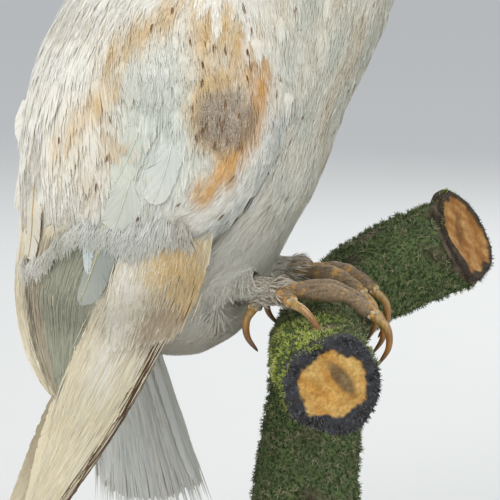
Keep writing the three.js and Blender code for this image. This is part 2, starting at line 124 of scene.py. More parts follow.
def closeRings(rings):
    # a skin over a list of equal rings, closed at both ends onto a middle point
    rings = np.asarray(rings, float)
    rows, around = rings.shape[:2]
    r, c = np.meshgrid(np.arange(rows - 1), np.arange(around), indexing="ij")
    a = (r * around + c).ravel()
    b = (r * around + (c + 1) % around).ravel()
    triangles = [np.column_stack([a, b, b + around]), np.column_stack([a, b + around, a + around])]
    k = np.arange(around)
    first, last = rows * around, rows * around + 1
    end = (rows - 1) * around
    triangles.append(np.column_stack([(k + 1) % around, k, np.full(around, first)]))
    triangles.append(np.column_stack([end + k, end + (k + 1) % around, np.full(around, last)]))
    points = np.vstack([rings.reshape(-1, 3), rings[0].mean(0), rings[-1].mean(0)])
    return points, outwards(points, np.vstack(triangles))


def sweep(path, radii, sides, squeeze=1.0):
    # rings of changing radius along a path; squeeze narrows them sideways
    path = np.asarray(path, float)
    tangents = unit(np.gradient(path, axis=0))
    side = np.array([0.0, 1.0, 0.0])
    if abs(tangents[0][1]) > 0.8:
        side = np.array([1.0, 0.0, 0.0])
    angles = 2 * math.pi * np.arange(sides) / sides
    rings = []
    for i, tangent in enumerate(tangents):
        side = unit(side - tangent * side.dot(tangent))
        up = np.cross(tangent, side)
        swell = np.broadcast_to(radii[i], (sides,))
        rings.append(
            path[i]
            + np.outer(swell * np.cos(angles) * squeeze, side)
            + np.outer(swell * np.sin(angles), up)
        )
    return closeRings(rings)


def joined(parts):
    # several (points, triangles, per-point values) made one
    points, triangles, values, start = [], [], {}, 0
    for part in parts:
        points.append(part[0])
        triangles.append(part[1] + start)
        start += len(part[0])
        for key, value in (part[2] if len(part) > 2 else {}).items():
            values.setdefault(key, []).append(value)
    return np.vstack(points), np.vstack(triangles), {k: np.vstack(v) for k, v in values.items()}


def meshOf(name, points, triangles, values=None):
    mesh = bpy.data.meshes.new(name)
    mesh.vertices.add(len(points))
    mesh.vertices.foreach_set("co", ((points + birdAt) * mm).astype(np.float32).ravel())
    mesh.loops.add(len(triangles) * 3)
    mesh.loops.foreach_set("vertex_index", triangles.astype(np.int32).ravel())
    mesh.polygons.add(len(triangles))
    mesh.polygons.foreach_set("loop_start", np.arange(0, len(triangles) * 3, 3, dtype=np.int32))
    mesh.polygons.foreach_set("use_smooth", np.ones(len(triangles), bool))
    mesh.update(calc_edges=True)
    for key, value in (values or {}).items():
        if key == "patch":
            layer = mesh.uv_layers.new(name="OFBake")
            layer.uv.foreach_set("vector", value[triangles.ravel()].astype(np.float32).ravel())
        elif key == "facing":
            mesh.normals_split_custom_set_from_vertices(value.tolist())
        elif key == "tint":
            layer = mesh.color_attributes.new("tint", "FLOAT_COLOR", "POINT")
            rgba = np.column_stack([value, np.ones(len(value))])
            layer.data.foreach_set("color", rgba.astype(np.float32).ravel())
        else:
            layer = mesh.attributes.new(key, "FLOAT_VECTOR", "POINT")
            layer.data.foreach_set("vector", value.astype(np.float32).ravel())
    return mesh


def addPiece(mesh, material, slotName, replaced=()):
    piece = bpy.data.objects.new(mesh.name, mesh)
    bpy.context.scene.collection.objects.link(piece)
    if material:
        mesh.materials.clear()
        mesh.materials.append(material)
    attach(piece, "root")
    if replaced:
        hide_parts(*replaced)


def addShape(name, shape, *finish):
    # shape is (points, triangles), with values for each point or without
    addPiece(meshOf(name, *shape), *finish)


def readMesh(mesh):
    # points in the bird's frame, triangles and normals of a Blender mesh
    mesh.calc_loop_triangles()
    points = np.zeros(len(mesh.vertices) * 3, np.float32)
    mesh.vertices.foreach_get("co", points)
    normals = np.zeros(len(mesh.vertices) * 3, np.float32)
    mesh.vertices.foreach_get("normal", normals)
    triangles = np.zeros(len(mesh.loop_triangles) * 3, np.int32)
    mesh.loop_triangles.foreach_get("vertices", triangles)
    return (
        points.reshape(-1, 3).astype(float) / mm - birdAt,
        triangles.reshape(-1, 3),
        normals.reshape(-1, 3).astype(float),
    )


def remeshed(points, triangles, voxel, rounds):
    # overlapping closed bodies become one, evenly meshed and smoothed
    body = bpy.data.objects.new("body", meshOf("body", points, triangles))
    bpy.context.scene.collection.objects.link(body)
    remesh = body.modifiers.new("Remesh", "REMESH")
    remesh.mode = "VOXEL"
    remesh.voxel_size = voxel * mm
    smooth = body.modifiers.new("Smooth", "SMOOTH")
    smooth.factor = 0.5
    smooth.iterations = rounds
    graph = bpy.context.evaluated_depsgraph_get()
    made = bpy.data.meshes.new_from_object(body.evaluated_get(graph))
    bpy.data.objects.remove(body)
    return readMesh(made)


def vertexNormals(points, triangles):
    corners = points[triangles]
    flat = np.cross(corners[:, 1] - corners[:, 0], corners[:, 2] - corners[:, 0])
    normals = np.zeros_like(points)
    for k in range(3):
        np.add.at(normals, triangles[:, k], flat)
    return unit(normals)


def neighbourMean(values, triangles, rounds):
    # each value drifts towards its neighbours' mean
    pairs = np.vstack([triangles[:, [0, 1]], triangles[:, [1, 2]], triangles[:, [2, 0]]])
    count = np.bincount(pairs.ravel(), minlength=len(values))[:, None]
    for _ in range(rounds):
        total = np.zeros_like(values)
        np.add.at(total, pairs[:, 0], values[pairs[:, 1]])
        np.add.at(total, pairs[:, 1], values[pairs[:, 0]])
        values = lerp(values, total / np.maximum(count, 1), 0.7)
    return values


def ripple(points, scale, seed):
    # a soft unrepeating wave over space, from -1 to 1
    p = points / scale
    total = 0
    for k in range(4):
        turn = seed * 1.7 + k * 2.4
        ahead = np.array([math.sin(turn), math.cos(turn * 1.3), math.sin(turn * 0.7 + 1)])
        total = total + np.sin(p @ ahead * (1 + 0.53 * k) * 2.1 + turn * 3)
    return total / 4


# Where the head sits, and its facial disc.
headSpec = {
    "centre": np.array([-2.0, 0.0, 216.0]),
    "turn": math.radians(-15),
    "disc": 28.0,
    "rim": [31, 40, 43, 41, 37, 37, 41],  # the disc's radius each 30 degrees from the forehead
}
eyeSpec = {
    "radius": 7.5, "opening": 6.0, "x": 14.5, "apart": 18.5, "z": 5.0, "glass": "0c0706", "iris": "24130b",
}
headAxes = np.array([
    [math.cos(headSpec["turn"]), math.sin(headSpec["turn"]), 0],
    [-math.sin(headSpec["turn"]), math.cos(headSpec["turn"]), 0],
    [0, 0, 1],
])


def fromHead(p):
    return np.asarray(p, float) @ headAxes + headSpec["centre"]


def toHead(p):
    return (p - headSpec["centre"]) @ headAxes.T


def rimShare(h):
    # how far out over the facial disc a place lies: 0 in its middle, 1 on its rim
    turn = np.abs(np.arctan2(h[:, 1], h[:, 2])) / (math.pi / 6)
    rim = np.array(headSpec["rim"], float)
    i = np.clip(turn.astype(int), 0, len(rim) - 2)
    return np.hypot(h[:, 1], h[:, 2]) / lerp(rim[i], rim[i + 1], smoothstep(0, 1, turn - i))


def eyeAt(side):
    return np.array([eyeSpec["x"], side * eyeSpec["apart"], eyeSpec["z"]])


def fromEyes(h):
    # the distance from the nearer eye's middle
    return np.minimum(*[np.linalg.norm(h - eyeAt(side), axis=1) for side in (-1, 1)])


# Plumage colours, as a paint picker shows them.
shades = {
    name: colour(text)
    for name, text in {
        "white": "f3f1ea", "cream": "eee4cb", "gold": "dcba80", "orange": "e2a540", "tan": "c9ab80",
        "sage": "ccd2ca", "ash": "b9beb9", "mouse": "a8937c", "umber": "55402f", "rust": "a9683a",
        # the last of these, a cool grey-blue, is painted shade for the tail
        "beige": "d8caa6", "moss": "a9aa98", "coolShade": "cfd8da",
    }.items()
}

# Lines and spots of the plumage's markings on the side view (x, z) of either side of the bird; the line under
# is a painted shadow beside the wing's front edge.
markings = {
    "fringe": [
        (-46, 124), (-55, 113), (-63, 108), (-67, 103), (-75, 98), (-76, 84), (-88, 72), (-97, 60),
    ],
    "warmRim": [(-17, 99), (-15, 90), (-16, 81), (-18, 71), (-25, 62), (-31, 51), (-38, 44)],
    "paleRim": [(-29, 91), (-38, 85), (-41, 79), (-38, 67), (-30, 61)],
    "edge": [(-9, 100), (-11, 84), (-14, 66), (-23, 48), (-33, 41)],
    # painted shadow: a grey line along the wing's lower front edge, against the breast
    "under": [(-5, 92), (-8, 74), (-13, 55), (-20, 40), (-31, 33), (-42, 25)],
    "patch": (-29, 74, 11.5, 12.5),
    "dashes": [
        (-41.7, 80.4), (-40, 69.2), (-37.8, 73.2), (-36.2, 75.2), (-33.5, 66.8), (-31.9, 76),
        (-29.6, 81.6), (-24.5, 79.2),
        (-24, 119), (-21, 110), (-22, 103), (-19, 99), (-21, 97), (-22, 93), (-11, 92), (-12, 86),
        (-30, 103), (-34, 104), (-38, 98), (-38, 91), (-37, 105), (-43, 106), (-27, 53), (-30, 77),
        (-31, 73), (-29, 68), (-24, 66), (-63, 37), (-45, 44), (-31, 38), (-75, 61), (-80, 50),
        (-84, 46), (-74, 76), (-88, 31), (-74, 34), (-58, 112), (-97, 66), (-50, 118), (-34, 126),
    ],
}


def nearLine(x, z, line, wide):
    # 1 on a line of the side view, falling off to 0 over its width
    best = np.full(np.shape(x), 1e9)
    for (x0, z0), (x1, z1) in zip(line, line[1:]):
        dx, dz = x1 - x0, z1 - z0
        t = np.clip(((x - x0) * dx + (z - z0) * dz) / (dx * dx + dz * dz), 0, 1)
        best = np.minimum(best, np.hypot(x - x0 - t * dx, z - z0 - t * dz))
    return np.exp(-((best / wide) ** 2))


def spot(x, z, cx, cz, rx, rz):
    return np.exp(-(((x - cx) / rx) ** 2) - ((z - cz) / rz) ** 2)


def paint(base, shade, share):
    share = np.broadcast_to(np.clip(share, 0, 1), (len(base),))
    return base + (shades[shade] - base) * share[:, None]


def painted(base, coats):
    for shade, share in coats:
        base = paint(base, shade, share)
    return base


def plumage(points, onWing):
    # the coat's colour, with painted shade on the body's front, low down and along the wing's front edge, and
    # how flecked it is, at any place on the bird
    x, y, z = points.T
    h = toHead(points)
    mottle = ripple(points, 9, 3)
    streak = ripple(points * [1, 1, 0.25], 3.2, 5)
    made = np.tile(shades["white"], (len(points), 1))
    # markings end raggedly, hair by hair
    x = x + 1.6 * ripple(points * [1, 1, 0.2], 1.3, 21)
    z = z + 4.0 * ripple(points * [1, 1, 0.15], 1.1, 22)
    body = 1 - smoothstep(178, 192, z)
    belly = smoothstep(-60, 0, x) * smoothstep(60, 0, z) * (1 - onWing)
    back = smoothstep(-70, -105, x) * smoothstep(70, 20, z) * body
    front = smoothstep(-30, 5, x) * (1 - onWing) * body
    cloud = ripple(points * [1, 1, 0.6], 15, 31)
    made = painted(made, [
        ("cream", 0.08 + 0.24 * streak),
        ("sage", 0.35 * belly),
        ("gold", back * (0.07 + 0.25 * np.clip(streak, 0, 1))),
        # partly painted shade: the tan and sage patches over the body's front are partly its own buff and
        # partly its shaded tones
        ("tan", 0.3 * front * smoothstep(0.0, 0.7, cloud)),
        ("sage", 0.4 * front * smoothstep(0.0, 0.7, -cloud)),
    ])
    # painted shade: the lower body, off the wings, is made darker and greyer low down
    shaded = smoothstep(40, 0, z) * (1 - onWing) * body
    # painted shade: the body's front, turned away from the lamps, is made darker and greener
    made = made * (1 - front[:, None] * np.array([0.09, 0.09, 0.13]))
    made = made * (1 - shaded[:, None] * np.array([0.14, 0.15, 0.17]))
    rear = smoothstep(10, -30, x - (z - 150) * 0.3) * smoothstep(130, 165, z)
    made = paint(made, "gold", rear * body * (0.1 + 0.2 * np.clip(mottle, 0, 1)))

    w = onWing * body
    breast = smoothstep(-50, -36, x) * smoothstep(82, 92, z) * w
    cx, cz, rx, rz = markings["patch"]
    patch = smoothstep(0.22, 0.5, spot(x, z, cx, cz, rx, rz)) * w
    made = painted(made, [
        ("sage", w * 0.85 * spot(x, z, -55, 70, 24, 34)),
        ("ash", w * 0.55 * spot(x, z, -66, 24, 22, 18)),
        ("moss", w * 0.7 * smoothstep(34, 22, z) * smoothstep(-112, -100, x)),
        ("gold", breast * (0.6 + 0.45 * streak)),
        ("gold", w * nearLine(x, z, markings["fringe"], 5.5) * (0.62 + 0.4 * streak)),
        ("tan", w * 0.75 * spot(x, z, -72, 62, 8, 7)),
        ("tan", w * 0.4 * spot(x, z, -83, 46, 7, 8)),
        ("gold", w * nearLine(x, z, markings["paleRim"], 3.6) * 0.75),
        ("orange", w * nearLine(x, z, markings["warmRim"], 4.6) * (0.78 + 0.3 * streak)),
        ("mouse", patch * 0.8),
        ("white", w * nearLine(x, z, markings["edge"], 3.0) * 0.8),
        # painted shadow: ash along the wing's lower front edge, where it stands off the breast
        ("ash", w * nearLine(x, z, markings["under"], 3.2) * 0.75),
        ("mouse", w * 0.6 * spot(x, z, -46, 33, 6, 5)),
        ("white", w * 0.8 * spot(x, z, -42, 37, 5, 4)),
    ])
    fleck = 0.8 * patch + 0.25 * breast * np.clip(mottle + 0.2, 0, 1) + 0.4 * w * spot(x, z, -46, 33, 6, 5)

    # the head: a white heart-shaped face inside a gold ruff, and a buff, speckled crown
    onHead = smoothstep(180, 194, z)
    out = rimShare(h)
    face = smoothstep(12, 18, h[:, 0])
    crown = onHead * (1 - face)
    ruff = onHead * smoothstep(0.84, 0.93, out) * smoothstep(1.22, 1.02, out) * smoothstep(2, 12, h[:, 0])
    besideBill = np.exp(-(((np.abs(h[:, 1]) - 9) / 4.5) ** 2) - ((h[:, 2] + 1) / 7.5) ** 2)
    made = painted(made, [
        ("gold", crown * (0.62 + 0.25 * mottle) * smoothstep(-30, -10, h[:, 2] + 12)),
        ("ash", crown * 0.35 * np.clip(ripple(points, 5, 8), 0, 1)),
        ("rust", ruff * (0.55 + 0.3 * streak)),
        ("white", onHead * face * smoothstep(0.9, 0.8, out)),
        ("rust", onHead * face * besideBill * 0.75),
    ])
    fleck = fleck + 0.5 * crown * smoothstep(-20, 10, h[:, 2])
    return made, np.clip(fleck, 0, 1)


print("stage: helpers ready")


# materials
def newGroup(name, inputs, outputs):
    tree = bpy.data.node_groups.new(name, "ShaderNodeTree")
    for label, kind, value in inputs:
        socket = tree.interface.new_socket(label, in_out="INPUT", socket_type=kind)
        if value is not None:
            socket.default_value = value
    for label, kind in outputs:
        tree.interface.new_socket(label, in_out="OUTPUT", socket_type=kind)
    return tree, tree.nodes.new("NodeGroupInput"), tree.nodes.new("NodeGroupOutput")


def put(tree, kind, links=(), **values):
    node = tree.nodes.new(kind)
    for key, value in values.items():
        setattr(node, key, value)
    for socket, source in dict(links).items():
        target = node.inputs[socket]
        if isinstance(source, bpy.types.NodeSocket):
            tree.links.new(source, target)
        else:
            target.default_value = source
    return node


def math2(tree, operation, a, b=0.0):
    return put(tree, "ShaderNodeMath", {0: a, 1: b}, operation=operation).outputs[0]


def times(tree, a, b):
    return math2(tree, "MULTIPLY", a, b)


def ramp(tree, value, low, high, bottom=0.0, top=1.0):
    node = put(tree, "ShaderNodeMapRange", {0: value, 1: low, 2: high, 3: bottom, 4: top})
    node.interpolation_type = "SMOOTHSTEP"
    return node.outputs[0]


def mixed(tree, share, a, b, blend="MIX"):
    node = put(tree, "ShaderNodeMix", {0: share}, data_type="RGBA", blend_type=blend)
    for socket, source in ((node.inputs[6], a), (node.inputs[7], b)):
        if isinstance(source, bpy.types.NodeSocket):
            tree.links.new(source, socket)
        else:
            socket.default_value = (*source, 1.0)
    return node.outputs[2]


def noise(tree, place, scale, detail, roughness=0.5):
    values = {"Vector": place, "Scale": scale, "Detail": detail, "Roughness": roughness}
    return put(tree, "ShaderNodeTexNoise", values).outputs[0]


def objectPlace(tree):
    return put(tree, "ShaderNodeTexCoord").outputs["Object"]


# Fine barbs that leave a feather's shaft towards its tip: lighter and darker hairs and their relief.
barbTree, barbIn, barbOut = newGroup(
    "featherBarbs",
    [
        ("Place", "NodeSocketVector", None), ("Hairs per mm", "NodeSocketFloat", 2.0),
        ("Slant", "NodeSocketFloat", 1.3),
    ],
    [("Hair", "NodeSocketFloat"), ("Relief", "NodeSocketFloat")],
)
split = put(barbTree, "ShaderNodeSeparateXYZ", {0: barbIn.outputs["Place"]})
aside = math2(barbTree, "ABSOLUTE", split.outputs[0])
slanted = math2(barbTree, "SUBTRACT", split.outputs[1], times(barbTree, aside, barbIn.outputs["Slant"]))
count = times(barbTree, slanted, barbIn.outputs["Hairs per mm"])
slow = times(barbTree, split.outputs[0], 0.12)
place = put(barbTree, "ShaderNodeCombineXYZ", {0: count, 1: slow, 2: split.outputs[2]}).outputs[0]
fine = noise(barbTree, place, 1.0, 2.0, 0.6)
wide = noise(barbTree, place, 0.22, 1.0)
both = math2(barbTree, "ADD", times(barbTree, fine, 0.6), times(barbTree, wide, 0.4))
barbTree.links.new(ramp(barbTree, both, 0.36, 0.64), barbOut.inputs["Hair"])
barbTree.links.new(fine, barbOut.inputs["Relief"])

# Uneven grain in the object's own space, for skin, horn, bark and wood.
grainTree, grainIn, grainOut = newGroup(
    "unevenGrain",
    [
        ("Scale", "NodeSocketFloat", 400.0), ("Stretch", "NodeSocketVector", (1, 1, 1)),
        ("Sharpness", "NodeSocketFloat", 0.5),
    ],
    [("Grain", "NodeSocketFloat"), ("Relief", "NodeSocketFloat")],
)
stretched = put(
    grainTree, "ShaderNodeVectorMath", {0: objectPlace(grainTree), 1: grainIn.outputs["Stretch"]},
    operation="MULTIPLY",
)
rough = noise(grainTree, stretched.outputs[0], grainIn.outputs["Scale"], 5.0, grainIn.outputs["Sharpness"])
grainTree.links.new(ramp(grainTree, rough, 0.35, 0.65), grainOut.inputs["Grain"])
grainTree.links.new(rough, grainOut.inputs["Relief"])


def newMaterial(name, roughness, specular=0.3, **sockets):
    material = bpy.data.materials.new(name)
    material.use_nodes = True
    tree = material.node_tree
    shader = tree.nodes["Principled BSDF"]
    shader.inputs["Roughness"].default_value = roughness
    shader.inputs["Specular IOR Level"].default_value = specular
    for label, value in sockets.items():
        shader.inputs[label].default_value = value
    return material, tree, shader


def finish(tree, shader, base, height=None, strength=0.0, distance=0.0):
    tree.links.new(base, shader.inputs["Base Color"])
    if height:
        bump = put(tree, "ShaderNodeBump", {"Height": height, "Strength": strength, "Distance": distance})
        tree.links.new(bump.outputs[0], shader.inputs["Normal"])


def attribute(tree, name):
    return put(tree, "ShaderNodeAttribute", attribute_name=name)


def axesOf(tree, vector):
    return put(tree, "ShaderNodeSeparateXYZ", {0: vector}).outputs


def marksOf(tree, name="marks"):
    return axesOf(tree, attribute(tree, name).outputs["Vector"])


def tintOf(tree):
    return attribute(tree, "tint").outputs["Color"]


def darkened(tree, base, share, shade):
    return mixed(tree, share, base, mixed(tree, 1.0, base, colour(shade), "MULTIPLY"))


def grain(tree, scale, stretch=(1, 1, 1), sharpness=0.5):
    # its grain, from 0 to 1, and its relief
    values = {"Scale": scale, "Stretch": stretch, "Sharpness": sharpness}
    return put(tree, "ShaderNodeGroup", values, node_tree=grainTree).outputs


# Vanes read what each feather carries: vane = (across, along, shaft), barbs = place in mm,
# marks = (0, fleck, dark edge) and tint = its colour.
def vaneMaterial(name, spec):
    sheen = {"Sheen Weight": spec["sheen"], "Sheen Roughness": 0.4, "Sheen Tint": (1.0, 0.97, 0.9, 1.0)}
    material, tree, shader = newMaterial(name, spec["roughness"], spec["specular"], **sheen)
    place = attribute(tree, "barbs").outputs["Vector"]
    values = {"Place": place, "Hairs per mm": spec["hairs"], "Slant": spec["slant"]}
    barbs = put(tree, "ShaderNodeGroup", values, node_tree=barbTree).outputs
    vane = marksOf(tree, "vane")
    marks = marksOf(tree)
    base = darkened(tree, tintOf(tree), times(tree, barbs["Hair"], spec["hairShare"]), spec["hairShade"])
    # the shaft, as a fine pale line
    across = math2(tree, "ABSOLUTE", vane[0])
    shaft = times(tree, ramp(tree, across, spec["shaft"], spec["shaft"] * 0.4), vane[2])
    base = mixed(tree, shaft, base, colour(spec["shaftShade"]))
    # flecks, dark and pale
    grit = noise(tree, objectPlace(tree), 1900.0, 2.0, 0.7)
    for low, high, most, shade in ((0.5, 0.66, 0.62, "5a483d"), (0.46, 0.34, 0.5, "e6dccb")):
        base = mixed(tree, times(tree, ramp(tree, grit, low, high, 0.0, most), marks[1]), base, colour(shade))
    # a darker leading edge
    edge = times(tree, marks[2], ramp(tree, barbs["Hair"], -0.6, 0.9))
    base = mixed(tree, edge, base, colour("4d4234"))
    finish(tree, shader, base, barbs["Relief"], spec["relief"], 0.0004)
    return material


coatLook = {
    "roughness": 0.8, "specular": 0.16, "sheen": 0.12, "hairs": 2.6, "slant": 1.9, "relief": 0.4,
    "hairShade": "dcd6c8", "hairShare": 0.6, "shaft": 0.035, "shaftShade": "f7f3e6",
}
flightLook = {
    "roughness": 0.62, "specular": 0.25, "sheen": 0.06, "hairs": 2.6, "slant": 2.6, "relief": 0.25,
    "hairShade": "e0d8c4", "hairShare": 0.4, "shaft": 0.05, "shaftShade": "e9d9a8",
}
coatMaterial = vaneMaterial("softPlumage", coatLook)
flightMaterial = vaneMaterial("flightFeather", flightLook)


def skinMaterial():
    material, tree, shader = newMaterial("downySkin", 0.9, 0.1)
    down = grain(tree, 900.0)
    base = darkened(tree, tintOf(tree), times(tree, down["Grain"], 0.5), "b9b0a2")
    finish(tree, shader, base, down["Relief"], 0.5, 0.0004)
    return material


print("stage: materials ready")

# skin
skinSpec = {
    "voxel": 1.7,
    "rounds": 5,
    "grow": 0.4,  # closes the fine gaps between the nodes
    "depth": {"trunk": 2.6, "neck": 2.4, "wing": 1.9, "head": 2.0, "facial": 1.4, "leg": 1.6},
    "shankDepth": 1.0,
}
fleshNodes = [
    "head", "facial_disc", "neck", "trunk", "wing_right_arm", "wing_left_arm", "leg_right", "leg_left",
]


def mergedNode(name):
    # a CAD node's triangles with their shared points joined
    points, triangles, _ = readMesh(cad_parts[name].data)
    _, first, where = np.unique(np.round(points, 3), axis=0, return_index=True, return_inverse=True)
    triangles = where.ravel()[triangles]
    keep = (
        (triangles[:, 0] != triangles[:, 1])
        & (triangles[:, 1] != triangles[:, 2])
        & (triangles[:, 2] != triangles[:, 0])
    )
    return points[first], triangles[keep]


flesh, owners = [], []
for name in fleshNodes:
    nodePoints, nodeTriangles = mergedNode(name)
    nodePoints = nodePoints + skinSpec["grow"] * vertexNormals(nodePoints, nodeTriangles)
    flesh.append((nodePoints, nodeTriangles))
    owners += [name.split("_")[0]] * len(nodeTriangles)
fleshPoints, fleshTriangles, _ = joined(flesh)
owners = np.array(owners)
fleshTree = BVHTree.FromPolygons(fleshPoints.tolist(), fleshTriangles.tolist())

skinPoints, skinTriangles, skinNormals = remeshed(
    fleshPoints, fleshTriangles, skinSpec["voxel"], skinSpec["rounds"]
)
skinOwner = np.array([owners[fleshTree.find_nearest(p)[2]] for p in skinPoints.tolist()])
depth = np.array([skinSpec["depth"][owner] for owner in skinOwner])
shank = smoothstep(12, 3, skinPoints[:, 2]) * (skinOwner == "leg")
depth = neighbourMean(lerp(depth, skinSpec["shankDepth"], shank)[:, None], skinTriangles, 6)
skinPoints = skinPoints - skinNormals * (depth + skinSpec["grow"])
skinPoints = neighbourMean(skinPoints, skinTriangles, 2)
skinNormals = vertexNormals(skinPoints, skinTriangles)
onWing = neighbourMean((skinOwner == "wing").astype(float)[:, None], skinTriangles, 3)[:, 0]
skinTree = BVHTree.FromPolygons(skinPoints.tolist(), skinTriangles.tolist())
skinTint, _ = plumage(skinPoints, onWing)
skinTint = skinTint * (1 - 0.35 * shank[:, None] * (colour("ffffff") - colour("b8a68e")))
skinCorners = skinPoints[skinTriangles]
skinAreas = np.linalg.norm(
    np.cross(skinCorners[:, 1] - skinCorners[:, 0], skinCorners[:, 2] - skinCorners[:, 0]), axis=1
) / 2


def unwrap(points):
    # the skin opened out round the bird's upright axis, for the baked map
    x, y, z = points.T
    low, high = skinPoints[:, 2].min() - 4, skinPoints[:, 2].max() + 4
    middle = np.interp(z, [-40, 60, 150, 260], [-60, -52, -20, -2])
    turn = np.arctan2(y, x - middle) / (2 * math.pi) + 0.5
    return np.column_stack([0.01 + 0.98 * turn, 0.01 + 0.98 * (z - low) / (high - low)])


skinShape = (skinPoints, skinTriangles, {"tint": skinTint})
addShape("owl_skin", skinShape, skinMaterial(), "white_plumage", fleshNodes)
print("stage: skin", len(skinTriangles), "triangles")

# coat
# Which way the feathers lie, at places of the side view: (x, z) and the direction there.
flow = np.array([
    (20, 190, -0.35, -0.94), (-20, 195, -0.6, -0.8), (36, 150, -0.12, -1), (30, 110, -0.2, -1),
    (14, 80, -0.3, -0.95), (2, 50, -0.42, -0.9), (-20, 20, -0.6, -0.8), (-45, -10, -0.7, -0.7),
    (-40, 165, -0.75, -0.66), (-70, 150, -0.62, -0.78), (-95, 115, -0.34, -0.94),
    (-112, 80, -0.1, -1), (-118, 45, 0.05, -1), (-112, 10, 0.12, -1), (-60, 125, -0.3, -0.95),
    (-18, 122, 0.1, -1), (-10, 100, 0.05, -1), (-12, 80, -0.12, -1), (-16, 62, -0.34, -0.94),
    (-26, 44, -0.75, -0.66), (-40, 34, -0.8, -0.55), (-30, 100, 0.12, -1), (-48, 105, 0.16, -1),
    (-66, 98, 0.2, -0.98), (-78, 84, 0.24, -0.97), (-90, 66, 0.12, -1), (-30, 74, -0.08, -1),
    (-50, 84, -0.05, -1), (-52, 60, -0.16, -1), (-70, 56, -0.1, -1), (-66, 30, -0.3, -0.95),
    (-88, 30, -0.12, -1), (-52, 24, -0.45, -0.9),
], float)

coatSpec = {
    "seed": 20,
    "crowd": 0.34,  # the space between roots, as a share of a feather's size
    "body": {"length": 24, "half": 2.7, "lift": 2.3},
    "mantle": {"length": 36, "half": 3.1, "lift": 1.9},
    "belly": {"length": 23, "half": 2.3, "lift": 2.4},
    "lesser": {"length": 13, "half": 1.7, "lift": 1.8},
    "median": {"length": 30, "half": 7.4, "lift": 1.7},
    "greater": {"length": 38, "half": 3.2, "lift": 1.8},
    "nape": {"length": 15, "half": 2.3, "lift": 2.1},
    "crown": {"length": 10, "half": 1.7, "lift": 1.7},
    "ruff": {"length": 7.5, "half": 1.5, "lift": 1.5},
    "face": {"length": 8.0, "half": 0.85, "lift": 1.2},
    "thigh": {"length": 9, "half": 0.7, "lift": 1.5},
    "shank": {"length": 6.5, "half": 0.7, "lift": 1.0},
    # the coverts end along this line of the side view (x, z); long quills lie below it
    "hem": [
        (-130, 8), (-116, 10), (-107, 14), (-98, 23), (-89, 29), (-77, 29), (-66, 30), (-56, 32),
        (-46, 31), (-39, 26), (-34, 22),
    ],
    "overhang": 8,
    "strands": {"count": 96000, "length": 10, "half": 0.17, "rise": [0.5, 1.0, 1.22, 1.3]},
    "dash": {"length": 3.6, "half": 0.2, "rise": [1.1, 1.3, 1.38, 1.4]},
}


def onSkin(points):
    found = [skinTree.find_nearest(p) for p in points.tolist()]
    places = np.array([f[0][:] for f in found])
    which = np.array([f[2] for f in found])
    return places, unit(skinNormals[skinTriangles[which]].mean(1))


def lieAt(points, normals):
    # the direction in which a feather lies, along the skin
    x, y, z = points.T
    reach = (x[:, None] - flow[:, 0]) ** 2 + (z[:, None] - flow[:, 1]) ** 2
    weight = 1 / (reach + 30) ** 2
    weight = weight / weight.sum(1, keepdims=True)
    outward = 0.10 * np.sign(y) * smoothstep(0, 20, abs(y))
    body = np.column_stack([weight @ flow[:, 2], outward, weight @ flow[:, 3]])
    body = lerp(body, np.array([-0.95, 0.0, -0.25]), smoothstep(-0.45, -0.85, normals[:, 2:3]))
    # legs: down the thigh, then forwards along the shank
    leg = smoothstep(6, -2, z) * smoothstep(-48, -30, x) * smoothstep(50, 30, abs(abs(y) - 24) * 3)
    body = lerp(body, np.array([1.0, 0.0, -0.15]), (leg * smoothstep(8, 4, z))[:, None])
    # head: back over the crown, outwards on the ruff, away from each eye on the face
    h = toHead(points)
    side = np.where(h[:, 1] > 0, 1.0, -1.0)
    fromEye = unit(np.column_stack([h[:, 1] - side * eyeSpec["apart"], h[:, 2] - eyeSpec["z"]]) + 1e-6)
    fromMiddle = unit(np.column_stack([h[:, 1], h[:, 2] + 4]) + 1e-6)
    out = rimShare(h)
    rim = smoothstep(0.55, 0.95, out)[:, None]
    face = np.column_stack([np.full(len(h), 0.05), lerp(fromEye, fromMiddle, rim)])
    down = -0.45 - 0.25 * smoothstep(-5, -30, h[:, 0])
    skull = np.column_stack([np.full(len(h), -1.0), 0.25 * fromMiddle[:, 0], down])
    ruff = np.column_stack([np.full(len(h), -0.45), fromMiddle])
    front = smoothstep(9, 17, h[:, 0])[:, None]
    ring = (smoothstep(0.9, 1.0, out) * smoothstep(-2, 10, h[:, 0]))[:, None]
    onHead = lerp(lerp(skull, face, front), ruff, ring * 0.8)
    share = smoothstep(176, 192, z + 0.2 * x)[:, None]
    way = unit(lerp(body, onHead @ headAxes, share))
    facing = dots(way, normals)
    return unit(way - normals * facing), facing[:, 0]


def hemLevel(x):
    return np.interp(x, *np.array(coatSpec["hem"], float).T)


def aboveHem(points):
    # how far below a place the coverts' hem lies; nothing ends in front of it
    return np.where(points[:, 0] > coatSpec["hem"][-1][0], 400, points[:, 2] - hemLevel(points[:, 0]))


